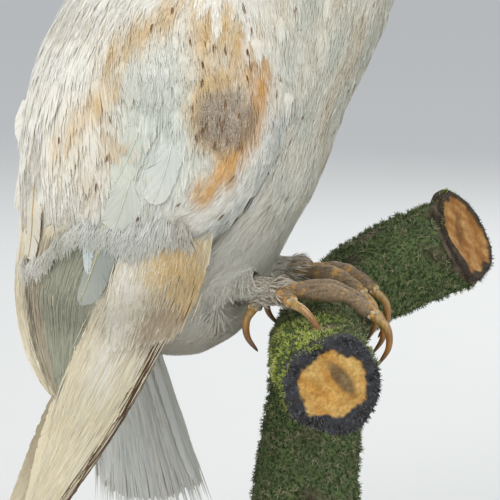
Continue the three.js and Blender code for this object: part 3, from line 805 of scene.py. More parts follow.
def coatSizes(points, onWing, owner):
    # each root's feather: its length, half width and lift off the skin
    x, _, z = points.T
    h = toHead(points)
    out = rimShare(h)

    def size(name):
        return np.array([coatSpec[name][key] for key in ("length", "half", "lift")], float)

    made = np.tile(size("body"), (len(points), 1))

    def blend(name, share):
        nonlocal made
        made = lerp(made, size(name), np.clip(share, 0, 1)[:, None])

    blend("mantle", smoothstep(-35, -75, x))
    blend("belly", smoothstep(55, 25, z) * smoothstep(-110, -85, x))
    w = onWing
    blend("median", w)
    shoulder = smoothstep(84, 94, z) * smoothstep(-84, -70, x)
    blend("lesser", w * np.maximum(smoothstep(-46, -36, x - (z - 80) * 0.05), shoulder))
    blend("greater", w * smoothstep(56, 44, z) * smoothstep(-44, -54, x))
    blend("greater", w * smoothstep(-98, -110, x) * smoothstep(80, 60, z))
    blend("mantle", w * smoothstep(100, 116, z) * smoothstep(-60, -75, x))
    blend("nape", smoothstep(170, 186, z))
    crown = smoothstep(186, 200, z)
    blend("crown", crown)
    blend("ruff", crown * smoothstep(0.82, 0.9, out) * smoothstep(0, 8, h[:, 0]))
    blend("face", crown * smoothstep(10, 15, h[:, 0]) * smoothstep(0.88, 0.78, out))
    isLeg = (owner == "leg") * 1.0
    blend("thigh", isLeg)
    blend("shank", isLeg * smoothstep(12, 4, z))
    return made


def leaf(rng, rows, columns, strands, point=0.5):
    # one feather's outline: places along and across it, and triangles; loose strands fray its edge
    def outline(s):
        wide = np.interp(s, [0, 0.2, 0.42, 0.65, 0.82, 0.93, 1.0], [0.3, 0.72, 1.0, 1.0, 0.82, 0.52, 0.1])
        return wide * (1 - point * 0.35 * s)

    along = np.array(rows)
    across = np.linspace(-1, 1, columns)
    wobble = 1 + 0.08 * rng.standard_normal((len(along), 2))
    places = []
    for i, s in enumerate(along):
        for w in across:
            places.append((s, w * outline(s) * wobble[i, int(w > 0)], -0.10 * w * w))
    triangles = []
    for r in range(len(along) - 1):
        for c in range(columns - 1):
            a = r * columns + c
            triangles += [(a, a + columns + 1, a + 1), (a, a + columns, a + columns + 1)]
    for k in range(strands):
        # a strand leaves the vane towards the tip and ends a little beyond the edge
        share = (k + 0.5) / strands * 2 - 1
        w0 = share * 0.72
        s0 = 0.34 + 0.4 * rng.random() * (1 - abs(share) * 0.5)
        s1 = min(s0 + 0.3 + 0.15 * rng.random(), 0.9 + 0.05 * rng.random())
        w1 = share * outline(s1) * (1.0 + 0.1 * rng.random())
        s2 = s1 + 0.10 + 0.12 * rng.random() * (1 - 0.5 * abs(share))
        w2 = w1 * (1.0 + 0.25 * rng.random() - 0.5 * max(s1 - 0.7, 0)) + 0.08 * rng.standard_normal()
        thin = 0.07 + 0.05 * rng.random()
        up = 0.03 + 0.05 * rng.random()
        start = len(places)
        places += [
            (s0, w0 - thin * 0.5, -0.03), (s0, w0 + thin * 0.5, -0.03),
            (s1, w1 - thin, up), (s1, w1 + thin, up - 0.03), (s2, w2, up * 1.3),
        ]
        triangles += [(start + a, start + b, start + c) for a, b, c in ((0, 3, 1), (0, 2, 3), (2, 4, 3))]
    return np.array(places), np.array(triangles)


def latticeWeights(places, stations):
    # how far each place leans on the stations along a feather and on its two edges
    s = np.clip(places[:, 0], 0, 1.15) * (stations - 1)
    i = np.clip(np.floor(s).astype(int), 0, stations - 2)
    t = s - i
    along = np.zeros((len(places), stations))
    rows = np.arange(len(places))
    along[rows, i] += 1 - t
    along[rows, i + 1] += t
    inside = (i > 0) & (i < stations - 2)
    bend = np.where(inside, 0.25 * t * (1 - t), 0)
    along[rows, i] += bend
    along[rows, i + 1] += bend
    along[rows[inside], i[inside] - 1] -= bend[inside]
    along[rows[inside], i[inside] + 2] -= bend[inside]
    w = places[:, 1]
    across = np.column_stack([w * (w - 1) / 2, 1 - w * w, w * (w + 1) / 2])
    return along, across


def scatterRoots(rng, sizes):
    # roots spread evenly over the skin, closer where feathers are small
    gap = coatSpec["crowd"] * np.sqrt(sizes[:, 0] * sizes[:, 1])
    triangleGap = gap[skinTriangles].mean(1)
    tries = rng.poisson(skinAreas / triangleGap**2 * 4.0)
    which = np.repeat(np.arange(len(skinTriangles)), tries)
    rng.shuffle(which)
    a, b = rng.random((2, len(which)))
    flip = a + b > 1
    a, b = np.where(flip, 1 - a, a), np.where(flip, 1 - b, b)
    bary = np.column_stack([1 - a - b, a, b])
    places = np.einsum("nk,nkc->nc", bary, skinCorners[which])
    tree = KDTree(len(places))
    for i, p in enumerate(places.tolist()):
        tree.insert(p, i)
    tree.balance()
    alive = np.ones(len(places), bool)
    kept = []
    for i, p in enumerate(places.tolist()):
        if alive[i]:
            kept.append(i)
            for _, j, _ in tree.find_range(p, float(triangleGap[which[i]])):
                alive[j] = False
    return places[kept], which[kept], bary[kept]


coatRng = np.random.default_rng(coatSpec["seed"])
skinSizes = coatSizes(skinPoints, onWing, skinOwner)
roots, rootTriangle, rootShare = scatterRoots(coatRng, skinSizes)


def atRoots(values):
    return np.einsum("nk,nk...->n...", rootShare, values[skinTriangles[rootTriangle]])


rootNormals = unit(atRoots(skinNormals))
rootSizes = atRoots(skinSizes)
rootWing = atRoots(onWing)
rootOwner = skinOwner[skinTriangles[rootTriangle][:, 0]]

# bare places: inside the eye sockets, behind the bill, and the shank's end
rootHead = toHead(roots)
bare = np.zeros(len(roots), bool)
bare |= fromEyes(rootHead) < eyeSpec["radius"] + 1.2
bare |= (np.abs(rootHead[:, 1]) < 5.2) & (rootHead[:, 0] > 12) & (np.abs(rootHead[:, 2] + 5) < 11)
bare |= (rootOwner == "leg") & (roots[:, 0] > -17)
bare |= (rootWing > 0.5) & (aboveHem(roots) < 3)
keep = ~bare
roots, rootNormals, rootSizes = roots[keep], rootNormals[keep], rootSizes[keep]
rootWing, rootOwner = rootWing[keep], rootOwner[keep]
total = len(roots)
print("stage: roots", total)

nearLegs = (rootOwner == "leg") | ((roots[:, 2] < 14) & (roots[:, 0] > -66) & (rootWing < 0.5))
rootSizes[nearLegs, 1] = np.minimum(rootSizes[nearLegs, 1], 1.1)
stations = 5
length = rootSizes[:, 0] * uneven(coatRng, 0.12, total)
half = rootSizes[:, 1] * uneven(coatRng, 0.12, total)
lift = rootSizes[:, 2] * uneven(coatRng, 0.16, total)
yaw = 0.10 * coatRng.standard_normal(total).clip(-2, 2)
riseAlong = [0.10, 0.42, 0.78, 1.0, 0.97]
lattice = np.zeros((total, stations, 3, 3))
upward = np.zeros((total, stations, 3))
place, normal = roots.copy(), rootNormals.copy()
way, facing = lieAt(place, normal)
# feathers on an underside are short, so that they don't splay
length = length * lerp(1.0, 0.55, smoothstep(0.6, 0.95, facing))
way = unit(way + np.cross(normal, way) * yaw[:, None])
room = aboveHem(roots) + coatSpec["overhang"] * (0.6 + 0.8 * coatRng.random(total))
length = np.where(rootWing > 0.5, np.minimum(length, np.maximum(room, 7)), length)
step = (length / (stations - 1))[:, None]
free = np.zeros((total, 1), bool)
for k in range(stations):
    if k:
        ahead = place + way * step * np.where(free, 0.5, 1.0)
        touch, touchNormal = onSkin(ahead)
        turned = dots(normal, touchNormal) < 0.6
        off = np.linalg.norm(touch - ahead, axis=1, keepdims=True) > step * 0.5
        free = free | turned | off
        place = np.where(free, ahead, touch)
        normal = unit(np.where(free, normal, 0.3 * normal + 0.7 * touchNormal))
        bent = unit(0.55 * way + 0.45 * lieAt(place, normal)[0])
        way = np.where(free, way, unit(bent - normal * dots(bent, normal)))
    beside = np.cross(normal, way)
    height = (lift * riseAlong[k])[:, None]
    upward[:, k] = normal
    lattice[:, k, 1] = place + normal * height
    for column, sign in ((0, -1), (2, 1)):
        edge = place + beside * (sign * half)[:, None]
        touch, _ = onSkin(edge)
        drop = np.clip(dots(touch - edge, normal)[:, 0], -0.6 * half, 0.1 * half)
        lattice[:, k, column] = edge + normal * (height[:, 0] + drop)[:, None]

shadeOf = uneven(coatRng, 0.03, total, 1, 1)

kinds = {
    "broad": [leaf(coatRng, [0, 0.25, 0.5, 0.7, 0.84, 0.94, 1.0], 5, 6) for _ in range(6)],
    "small": [leaf(coatRng, [0, 0.35, 0.65, 0.86, 1.0], 3, 6) for _ in range(6)],
    "bristle": [leaf(coatRng, [0, 0.4, 0.75, 1.0], 3, 2, 1.0) for _ in range(5)],
}
kindOf = np.where(rootSizes[:, 1] > 5.4, "broad", np.where(rootSizes[:, 1] > 1.35, "small", "bristle"))
variantOf = coatRng.integers(0, 6, total)
seedOf = coatRng.random(total)
homes = unwrap(roots)


def feathersOf(chosen):
    parts = []
    for kind, variants in kinds.items():
        for v, (places, triangles) in enumerate(variants):
            pick = chosen[(kindOf[chosen] == kind) & (variantOf[chosen] % len(variants) == v)]
            if not len(pick):
                continue
            many, each = len(pick), len(places)
            ones = np.ones((many, each))
            s, w, rise = places.T
            wide = half[pick][:, None]
            along, across = latticeWeights(places, stations)
            points = np.einsum("vs,vw,nswc->nvc", along, across, lattice[pick], optimize=True)
            up = np.einsum("vs,nsc->nvc", along, upward[pick])
            points += up * rise[None, :, None] * wide[:, :, None]
            tint, fleck = plumage(points.reshape(-1, 3), np.repeat(rootWing[pick], each))
            fleck = fleck.reshape(many, each)
            shaft = ones * (wide > 5.0) * 0.7
            values = {
                "tint": tint.reshape(many, each, 3) * shadeOf[pick],
                "vane": np.stack([ones * w, ones * s, shaft], axis=2),
                "barbs": np.stack(
                    [w * wide, s * length[pick][:, None], ones * seedOf[pick][:, None] * 90], axis=2
                ),
                "marks": np.stack([0 * ones, fleck, 0 * ones], axis=2),
                "patch": homes[pick][:, None] + 0.0015 * np.stack([ones * w, ones * (s * 2 - 1)], axis=2),
                "facing": unit(up),
            }
            faces = (triangles[None] + (np.arange(many) * each)[:, None, None]).reshape(-1, 3)
            values = {key: value.reshape(-1, value.shape[-1]) for key, value in values.items()}
            parts.append((points.reshape(-1, 3), faces, values))
    return joined(parts)


regions = {
    "coat_face": (rootOwner == "facial") | ((rootOwner == "head") & (rootSizes[:, 0] < 9)),
    "coat_head": (rootOwner == "head") | (rootOwner == "neck"),
    "coat_legs": rootOwner == "leg",
    "coat_right_wing": (rootWing > 0.5) & (roots[:, 1] < 0),
    "coat_left_wing": (rootWing > 0.5) & (roots[:, 1] > 0),
    "coat_back": roots[:, 0] < -52,
    "coat_breast": np.ones(total, bool),
}
tips, _ = onSkin(lattice[:, -1, 1])
loose = np.linalg.norm(tips - lattice[:, -1, 1], axis=1) > lift + 3.5
left = ~(loose & (rootOwner != "head") & (rootOwner != "facial"))
for name, where in regions.items():
    chosen = np.flatnonzero(left & where)
    left[chosen] = False
    points, triangles, values = feathersOf(chosen)
    values["facing"] = unit(0.6 * values["facing"] + 0.4 * vertexNormals(points, triangles))
    addShape(name, (points, triangles, values), coatMaterial, "white_plumage")
    print("stage:", name, len(chosen), "feathers", len(triangles), "triangles")


def ribbons(stationsAt, normalsAt, halves, tint, home, fleck=0.0):
    # thin tapering blades through rows of places (blade, station, 3)
    many, rows = stationsAt.shape[:2]
    ahead = np.gradient(stationsAt, axis=1)
    aside = unit(np.cross(normalsAt, ahead))
    taper = np.array([0.55, 1.0, 0.75])[None, :, None] * halves[:, None, None]
    sides = [stationsAt[:, :-1] - aside[:, :-1] * taper, stationsAt[:, :-1] + aside[:, :-1] * taper]
    points = np.concatenate([sides[0], sides[1], stationsAt[:, -1:]], axis=1)
    k = rows - 1
    faces = []
    for r in range(k - 1):
        faces += [(r, r + 1, k + r + 1), (r, k + r + 1, k + r)]
    faces = np.array(faces + [(k - 1, 2 * k, 2 * k - 1)])
    each = 2 * k + 1
    faces = (faces[None] + (np.arange(many) * each)[:, None, None]).reshape(-1, 3)
    order = [*range(k), *range(k), k]
    across = np.array([-1] * k + [1] * k + [0])
    spread = np.column_stack([across, np.array(order) / k * 2 - 1])
    ones = np.ones((many, each, 1))
    values = {
        "tint": (tint[:, None] * ones).reshape(-1, 3),
        "vane": np.concatenate([ones * 0.5, ones * 0.5, ones * 0], axis=2).reshape(-1, 3),
        "barbs": (stationsAt[:, :1] * ones).reshape(-1, 3),
        "marks": np.concatenate([ones * 0, ones * fleck, ones * 0], axis=2).reshape(-1, 3),
        "patch": (home[:, None] + 0.0015 * spread[None]).reshape(-1, 2),
        "facing": normalsAt[:, order].reshape(-1, 3),
    }
    return points.reshape(-1, 3), faces, values


def walked(place, normal, length, lift, rise, rng, waver):
    # rows of places from each root along the lie of the coat
    way, _ = lieAt(place, normal)
    turn = waver * rng.standard_normal(len(place)).clip(-2, 2)
    way = unit(way + np.cross(normal, way) * turn[:, None])
    rows, ups = [], []
    for k, height in enumerate(rise):
        if k:
            touch, touchNormal = onSkin(place + way * (length / (len(rise) - 1))[:, None])
            sharp = dots(normal, touchNormal) < 0.5
            place = np.where(sharp, place + way * 0.2, touch)
            normal = np.where(sharp, normal, touchNormal)
            way = unit(way - normal * dots(way, normal))
        rows.append(place + normal * (lift * height)[:, None])
        ups.append(normal)
    return np.stack(rows, axis=1), np.stack(ups, axis=1)


def looseStrands(spec):
    rng = np.random.default_rng(coatSpec["seed"] + 1)
    halves = skinSizes[skinTriangles[:, 0], 1]
    wanted = skinAreas * np.where(halves > 5, 0.14, np.where(halves < 1.3, 0.5, 1.0))
    wanted = wanted * (1 + smoothstep(35, 10, skinPoints[skinTriangles[:, 0], 2]))
    which = rng.choice(len(wanted), spec["count"], p=wanted / wanted.sum())
    share = rng.dirichlet((1, 1, 1), len(which))
    corner = skinTriangles[which]
    place = np.einsum("nk,nkc->nc", share, skinCorners[which])
    normal = unit(np.einsum("nk,nkc->nc", share, skinNormals[corner]))
    sizes = np.einsum("nk,nkc->nc", share, skinSizes[corner])
    wing = np.einsum("nk,nk->n", share, onWing[corner])
    h = toHead(place)
    keep = ~((wing > 0.5) & (aboveHem(place) < 6))
    keep &= ~((skinOwner[corner[:, 0]] == "leg") & (place[:, 0] > -22))
    keep &= fromEyes(h) > eyeSpec["radius"] + 3
    keep &= ~((np.abs(h[:, 1]) < 8) & (h[:, 0] > 10) & (np.abs(h[:, 2] + 5) < 14))
    place, normal, sizes, wing = place[keep], normal[keep], sizes[keep], wing[keep]
    low = smoothstep(35, 10, place[:, 2]) * (1 - wing)
    length = np.minimum(sizes[:, 0] * 0.55, spec["length"])
    length = length * (0.75 + 0.5 * rng.random(len(place))) * (1 + 0.5 * low)
    lift = sizes[:, 2] * (1 + 0.5 * low)
    rows, ups = walked(place, normal, length, lift, spec["rise"], rng, 0.16 + 0.2 * low)
    tint, fleck = plumage(rows[:, 2], wing)
    tint = tint * uneven(rng, 0.05, len(tint), 1)
    halfWide = spec["half"] * (0.7 + 0.6 * rng.random(len(tint)))
    return rows, ups, halfWide, tint, unwrap(place), fleck[:, None, None]


strands = looseStrands(coatSpec["strands"])
aside = strands[0][:, 0, 1]
for name, where in (
    ("strands_right", aside < -12), ("strands_left", aside > 12), ("strands_middle", np.abs(aside) <= 12),
):
    shape = ribbons(*[given[where] for given in strands])
    addShape(f"coat_{name}", shape, coatMaterial, "white_plumage")
    print("stage:", name, len(shape[1]), "triangles")


def darkDashes():
    # small dark streaks at the feathers' tips: the wings' own, and a scatter over the back and crown
    rng = np.random.default_rng(coatSpec["seed"] + 2)
    starts = []
    for x, z in markings["dashes"]:
        for side in (-1, 1):
            hit = skinTree.ray_cast(Vector((x, side * 120, z)), Vector((0, -side, 0)))
            if hit[0] is not None:
                starts.append((np.array(hit[0]), 1.0))
    chance = 0.02 + 0.09 * smoothstep(-60, -90, roots[:, 0]) * (1 - rootWing)
    chance = chance + 0.10 * smoothstep(195, 215, roots[:, 2]) * (toHead(roots)[:, 0] < 6)
    chance = np.where((rootSizes[:, 0] < 9) | ((rootWing > 0.4) & (roots[:, 2] < 130)), 0, chance * 0.35)
    starts += [(roots[i], 0.7) for i in np.flatnonzero(rng.random(total) < chance)]
    place, normal = onSkin(np.array([start for start, _ in starts]))
    scale = np.array([size for _, size in starts])
    sizes = skinSizes[skinTriangles[[skinTree.find_nearest(p)[2] for p in place.tolist()]][:, 0]]
    spec = coatSpec["dash"]
    many = len(place)
    made = []
    for k in range(3):
        way, _ = lieAt(place, normal)
        beside = np.cross(normal, way)
        shift = (k - 1) * spec["half"] * 1.5 + 0.12 * rng.standard_normal(many)
        along = 0.8 * rng.standard_normal(many)
        start, startNormal = onSkin(place + beside * shift[:, None] + way * along[:, None])
        length = spec["length"] * scale * (0.7 + 0.5 * rng.random(many))
        rows, ups = walked(start, startNormal, length, sizes[:, 2], spec["rise"], rng, 0.03)
        tint = np.tile(colour("7d5c41"), (many, 1)) * (0.6 + 0.9 * rng.random((many, 1)))
        halfWide = spec["half"] * scale * (0.7 + 0.4 * rng.random(many))
        made.append(ribbons(rows, ups, halfWide, tint, unwrap(start)))
    return joined(made)


addShape("coat_dashes", darkDashes(), coatMaterial, "white_plumage")
print("stage: coat done")

# wings' and tail's long feathers
# Half widths of the folded wings' surface: at each level, an ellipse about both wings together.
fold = [
    {"z": 140, "mid": -32, "deep": 70, "half": 50},
    {"z": 100, "mid": -52, "deep": 64, "half": 57},
    {"z": 60, "mid": -58, "deep": 68, "half": 59},
    {"z": 20, "mid": -64, "deep": 64, "half": 54},
    {"z": -20, "mid": -76, "deep": 56, "half": 43},
    {"z": -60, "mid": -92, "deep": 50, "half": 32},
    {"z": -100, "mid": -114, "deep": 50, "half": 22},
    {"z": -145, "mid": -135, "deep": 50, "half": 14},
]


def foldSide(x, z):
    mid, deep, wide = (tableRead(fold, key, z) for key in ("mid", "deep", "half"))
    return wide * np.sqrt(np.maximum(1 - ((x - mid) / deep) ** 2, 0.08))


# how far the skin stands out sideways under the quills, read once over the side view
sideGrid = {"step": 2, "x": np.arange(-150.0, -14.0, 2), "z": np.arange(-60.0, 70.0, 2)}


def readSide():
    gridX, gridZ = np.meshgrid(sideGrid["x"], sideGrid["z"], indexing="ij")
    wide = np.zeros(gridX.shape)
    for i, x in enumerate(sideGrid["x"].tolist()):
        for j, z in enumerate(sideGrid["z"].tolist()):
            hit = skinTree.ray_cast(Vector((x, -120, z)), Vector((0, 1, 0)))
            wide[i, j] = 0 if hit[0] is None else max(-hit[0][1], 0)
    wide = np.maximum(wide, foldSide(gridX, gridZ) - 6)
    for k in range(9):
        framed = np.pad(wide, 1, mode="edge")
        around = [framed[a:a + wide.shape[0], b:b + wide.shape[1]] for a in range(3) for b in range(3)]
        wide = np.max(around, axis=0) if k < 2 else np.mean(around, axis=0)
    return wide


sideGrid["wide"] = readSide()


def skinSide(x, z):
    fx, fz = (
        np.clip((v - sideGrid[key][0]) / sideGrid["step"], 0, len(sideGrid[key]) - 1.001)
        for key, v in (("x", x), ("z", z))
    )
    i, j = fx.astype(int), fz.astype(int)
    u, v = fx - i, fz - j
    wide = sideGrid["wide"]
    low = lerp(wide[i, j], wide[i + 1, j], u)
    high = lerp(wide[i, j + 1], wide[i + 1, j + 1], u)
    return lerp(low, high, v)


def quillSide(x, z, sunk, over):
    # the quills' level: under the fold's surface, but never inside the skin
    a, b = foldSide(x, z) - sunk, skinSide(x, z) + over
    blend = smoothstep(-2, 2, b - a)
    return lerp(a, b, blend) + blend * (1 - blend)


# Each fan runs from the leading edge (0) to the trailing edge (1): its roots and tips (x, z) there,
# how far its feathers bow, how deep it lies under the fold, and its vanes' widths.
fanSpecs = {
    "secondaries": {
        "roots": [(-64, 42), (-122, 24)], "tips": [(-99, -50), (-109, -44)], "bow": (-6, -9), "count": 7,
        "sunk": 4.6, "over": 1.6, "stack": 1.0, "dive": 1.8, "quill": 0.4, "pale": 0.1,
        "lead": 6.0, "trail": 7.5, "point": 0.75, "barbs": 60, "shaft": False,
    },
    "primaries": {
        "roots": [(-38, 22), (-70, 20)], "tips": [(-143, -142), (-119, -104)], "bow": (7, -7), "count": 8,
        "sunk": 2.6, "over": 2.8, "stack": -0.5, "dive": 2.0, "quill": 0.55, "pale": 0.35,
        "lead": 3.6, "trail": 9.0, "point": 0.9, "barbs": 84,
    },
    "primary_coverts": {
        "roots": [(-35, 33), (-66, 38)], "tips": [(-54, -17), (-83, -24)], "bow": (2, 0), "count": 9,
        "sunk": 1.4, "over": 3.4, "stack": -0.4, "dive": 4.6, "quill": 0.4, "pale": 0.2,
        "lead": 4.2, "trail": 4.6, "point": 0.8, "barbs": 40, "shaft": False,
    },
}
sweptBack = {"right": 0, "left": 16}
flightRng = np.random.default_rng(41)


def flightFeather(spec, surface, tintAt, cell, markAt=None):
    # a shaft with two vanes of separate barbs. surface(s, w) is the place s along and w mm
    # beside the shaft, with its outward normal
    rng = flightRng
    centre, _ = surface(np.linspace(0, 1, 9), np.zeros(9))
    total = np.linalg.norm(np.diff(centre, axis=0), axis=1).sum()
    count, ragged = spec["barbs"], spec.get("ragged", 1.0)
    widest = max(spec["lead"], spec["trail"])

    def outline(s):
        full = np.interp(s, [0, 0.08, 0.3, 0.88, 0.95, 0.985, 1.0], [0.35, 0.7, 1, 1.0, 0.86, 0.6, 0.3])
        sharp = np.interp(s, [0, 0.08, 0.3, 0.7, 0.9, 1.0], [0.35, 0.7, 1, 0.8, 0.42, 0.05])
        return lerp(full, sharp, spec["point"])

    parts = []
    for sign, wide in ((-1, spec["lead"]), (1, spec["trail"])):
        # barbs split into a few groups that slip along the shaft together
        group = np.cumsum(rng.random(count) < 0.05)
        shift = (0.012 * ragged * rng.standard_normal(group.max() + 1))[group]
        fray = uneven(rng, 0.03, count)
        base = (np.arange(count) + 0.5) / count
        rake = np.minimum(wide * 1.1 / total, 0.5)
        t = np.linspace(0, 1, 4)
        s, w = np.zeros((2, count, 2, 4))
        for k, sideways in enumerate((-1, 1)):
            start = base + sideways * 0.56 / count
            end = start + rake * (1 - 0.8 * base**3) + shift
            s[:, k] = lerp(start[:, None], end[:, None], t)
            s[:, k] = np.clip(s[:, k], 0, 1.01 + 0.01 * ragged * rng.random((count, 1)))
            w[:, k] = sign * t * (wide * outline(np.clip(end, 0, 1)) * fray)[:, None]
        s, w = s.reshape(-1), w.reshape(-1)
        points, normals = surface(s, w)
        arch = -0.012 * w * w + 0.03 * rng.standard_normal(count).repeat(8) * (np.abs(w) / wide)
        points = points + normals * arch[:, None]
        faces = []
        for a in range(3):
            b, c, d = a + 1, a + 4, a + 5
            faces += [(a, c, d), (a, d, b)] if sign < 0 else [(a, d, c), (a, b, d)]
        faces = (np.array(faces)[None] + (np.arange(count) * 8)[:, None, None]).reshape(-1, 3)
        parts.append((points, faces, s, w))
    steps = 14
    run = np.linspace(0, 0.985, steps)
    path, up = surface(run, np.zeros(steps))
    points, faces = sweep(path + up * 0.25, np.linspace(spec["quill"], 0.12, steps), 4)
    points = points if spec.get("shaft", True) else points - up[0] * 1.2
    parts.append((points, faces, np.append(np.repeat(run, 4), [0, 1]), np.zeros(len(points))))
    seed = rng.random() * 90
    made = []
    for points, faces, s, w in parts:
        tint = tintAt(s, w, points)
        if len(made) == 2:
            tint = lerp(tint, spec.get("shaftTint", colour("e6d5a4")), spec["pale"])
        home = np.column_stack([0.5 + 0.48 * w / (widest * 1.3), 0.02 + 0.94 * np.clip(s, 0, 1.02)])
        made.append((points, faces, {
            "tint": tint,
            "vane": np.column_stack([w / widest, s * 0.6, 0 * s]),
            "barbs": np.column_stack([w, s * total, np.full(len(s), seed)]),
            "marks": markAt(s, w, points) if markAt else np.zeros((len(s), 3)),
            "patch": cell[0] + (cell[1] - cell[0]) * home,
        }))
    return joined(made)


def cellOf(index, columns, rows):
    # a feather's own place in its piece's map
    c, r = index % columns, index // columns
    return np.array([c / columns, r / rows]), np.array([(c + 1) / columns, (r + 1) / rows])


nearby = [(0, 0), (1.5, 0), (-1.5, 0), (0, 1.5), (0, -1.5)]


def quillLevel(x, z, sunk, over):
    # the quills' level sideways, and its slope
    level = [quillSide(x + dx, z + dz, sunk, over) for dx, dz in nearby]
    return level[0], (level[1] - level[2]) / 3, (level[3] - level[4]) / 3


def fanFeather(spec, side, swept, a):
    roots = np.array(spec["roots"], float)
    tips = np.array(spec["tips"], float)
    tips[:, 0] -= swept
    root = lerp(roots[0], roots[1], a)
    tip = lerp(tips[0], tips[1], a)
    bow = lerp(spec["bow"][0], spec["bow"][1], a)
    ahead = tip - root
    ahead = ahead / np.linalg.norm(ahead)
    beside = np.array([-ahead[1], ahead[0]])  # towards the leading edge is -beside below

    def surface(s, w):
        s, w = np.asarray(s, float), np.asarray(w, float)
        bend = bow * np.sin(math.pi * s)
        tilt = bow * math.pi * np.cos(math.pi * s) / np.linalg.norm(tip - root)
        flat = root + (tip - root) * s[:, None] + beside * bend[:, None]
        across = unit(-beside + ahead * tilt[:, None])
        x, z = (flat + across * w[:, None]).T
        level, slopeX, slopeZ = quillLevel(x, z, spec["sunk"], spec["over"])
        y = level + spec["stack"] * a + 0.12 - spec["dive"] * smoothstep(0.4, 0.08, s)
        normals = unit(np.column_stack([-slopeX, np.ones(len(x)), -slopeZ]))
        return np.column_stack([x, y, z]) * [1, side, 1], normals * [1, side, 1]

    return surface


def spots(x, z, places):
    return np.maximum.reduce([spot(x, z, *place) for place in places])


def sleeveTint(x, z, streak):
    # the folded hand: gold at its top, then grey-brown beside white, then cream with long streaks
    bright = spots(x, z, [(-68, 14, 8, 16), (-74, -6, 7, 12), (-62, -18, 7, 5), (-80, -24, 6, 10)])
    gold = spots(x, z, [(-47, 22, 11, 11), (-41, 7, 9, 10)])
    grey = spots(x, z, [(-56, -3, 9, 9), (-63, -11, 7, 7), (-49, -4, 7, 7)])
    return painted(np.tile(shades["cream"], (len(x), 1)), [
        ("beige", 0.10 + 0.35 * streak + 0.2 * smoothstep(-30, -80, z)),
        ("ash", 0.45 * smoothstep(0.2, 0.9, -streak) * smoothstep(-10, -40, z)),
        ("white", 0.9 * bright),
        ("gold", smoothstep(0.1, 0.7, gold + 0.25 * streak) * (0.75 + 0.3 * streak)),
        ("mouse", smoothstep(0.2, 0.8, grey + 0.15 * streak) * 0.8),
    ])


def fanTint(fan, a):
    jitter = 1 + 0.03 * flightRng.standard_normal()

    def tintAt(s, w, points):
        x, y, z = points.T
        run = ripple(np.column_stack([w, s * 6, s * 0 + a * 9]), 1.6, 7)
        if fan == "secondaries":
            made = painted(np.tile(shades["cream"], (len(points), 1)), [
                # painted shade: grey-green over the inner secondaries, recessed under the sleeve, and ash
                # near the sleeve and their roots
                ("moss", 0.7 * smoothstep(0.72, 0.4, a) + 0.15 * run),
                ("ash", 0.6 * smoothstep(0.5, 0.1, a) * smoothstep(0.55, 0.1, s)),
                # painted shadow: a dark umber band where the gap between two bundles of secondaries lies in
                # shade
                ("umber", 0.85 * (abs(a - 0.786) < 0.05) * smoothstep(-1.0, 1.0, w)),
                ("mouse", 0.45 * (abs(a - 0.643) < 0.05) * (0.6 + 0.5 * run)),
                ("white", 0.5 * smoothstep(0.85, 1.0, a) * smoothstep(0.5, -0.5, w)),
                ("gold", 0.7 * (a > 0.75) * np.exp(-(((w - 1.2) / 0.8) ** 2))),
            ])
        else:
            made = sleeveTint(x, z, run)
        if fan == "primaries":
            made = paint(made, "umber", (a < 0.2) * 0.5 * smoothstep(-1, -3, w))
        return made * jitter

    return tintAt


def fanMarks(fan, a):
    def markAt(s, w, points):
        marks = np.zeros((len(s), 3))
        if fan == "primaries" and a < 0.3:
            marks[:, 2] = (0.75 if a < 0.1 else 0.55) * smoothstep(0.12, 0.3, s) * smoothstep(0.6, -1.2, w)
        return marks

    return markAt


for fan, spec in fanSpecs.items():
    for sideName, side in bothSides:
        parts = []
        for k in range(spec["count"]):
            a = (k + 0.5) / spec["count"]
            own = dict(spec)
            if k == spec["count"] - 1:
                own["trail"] = spec["trail"] * 0.5
            surface = fanFeather(own, side, sweptBack[sideName] if fan == "primaries" else 0, a)
            made = flightFeather(own, surface, fanTint(fan, a), cellOf(k, 3, 3), fanMarks(fan, a))
            parts.append((made[0], made[1][:, ::side], made[2]))
        name = f"wing_{sideName}_{fan}"
        addShape(f"feathers_{name}", joined(parts), flightMaterial, "flight_feathers", [name])

# Fine barbs that lie lengthwise over the fans: how many, how long, and where along a feather they start.
sleeveSpec = {
    "primary_coverts": {"count": 5200, "length": 13, "from": -0.1, "to": 0.78, "rise": [0.2, 0.7, 1.0, 1.2]},
    "primaries": {"count": 2600, "length": 26, "from": 0.12, "to": 0.84, "rise": [0.2, 0.35, 0.45, 0.5]},
    "secondaries": {"count": 900, "length": 24, "from": 0.05, "to": 0.7, "rise": [0.2, 0.35, 0.45, 0.5]},
}
sleeveHalf = 0.2


def laneRows(rng, surface, start, reach, drift, slant, rise):
    # rows of four places along a surface, lifted off it, with the way up at each
    t = np.linspace(0, 1, 4)
    s = start[:, None] + reach[:, None] * t
    w = (drift * rng.standard_normal(len(s)))[:, None] + (slant * rng.standard_normal(len(s)))[:, None] * t
    points, normals = (v.reshape(-1, 4, 3) for v in surface(s.ravel(), w.ravel()))
    return points + normals * np.array(rise)[None, :, None], normals


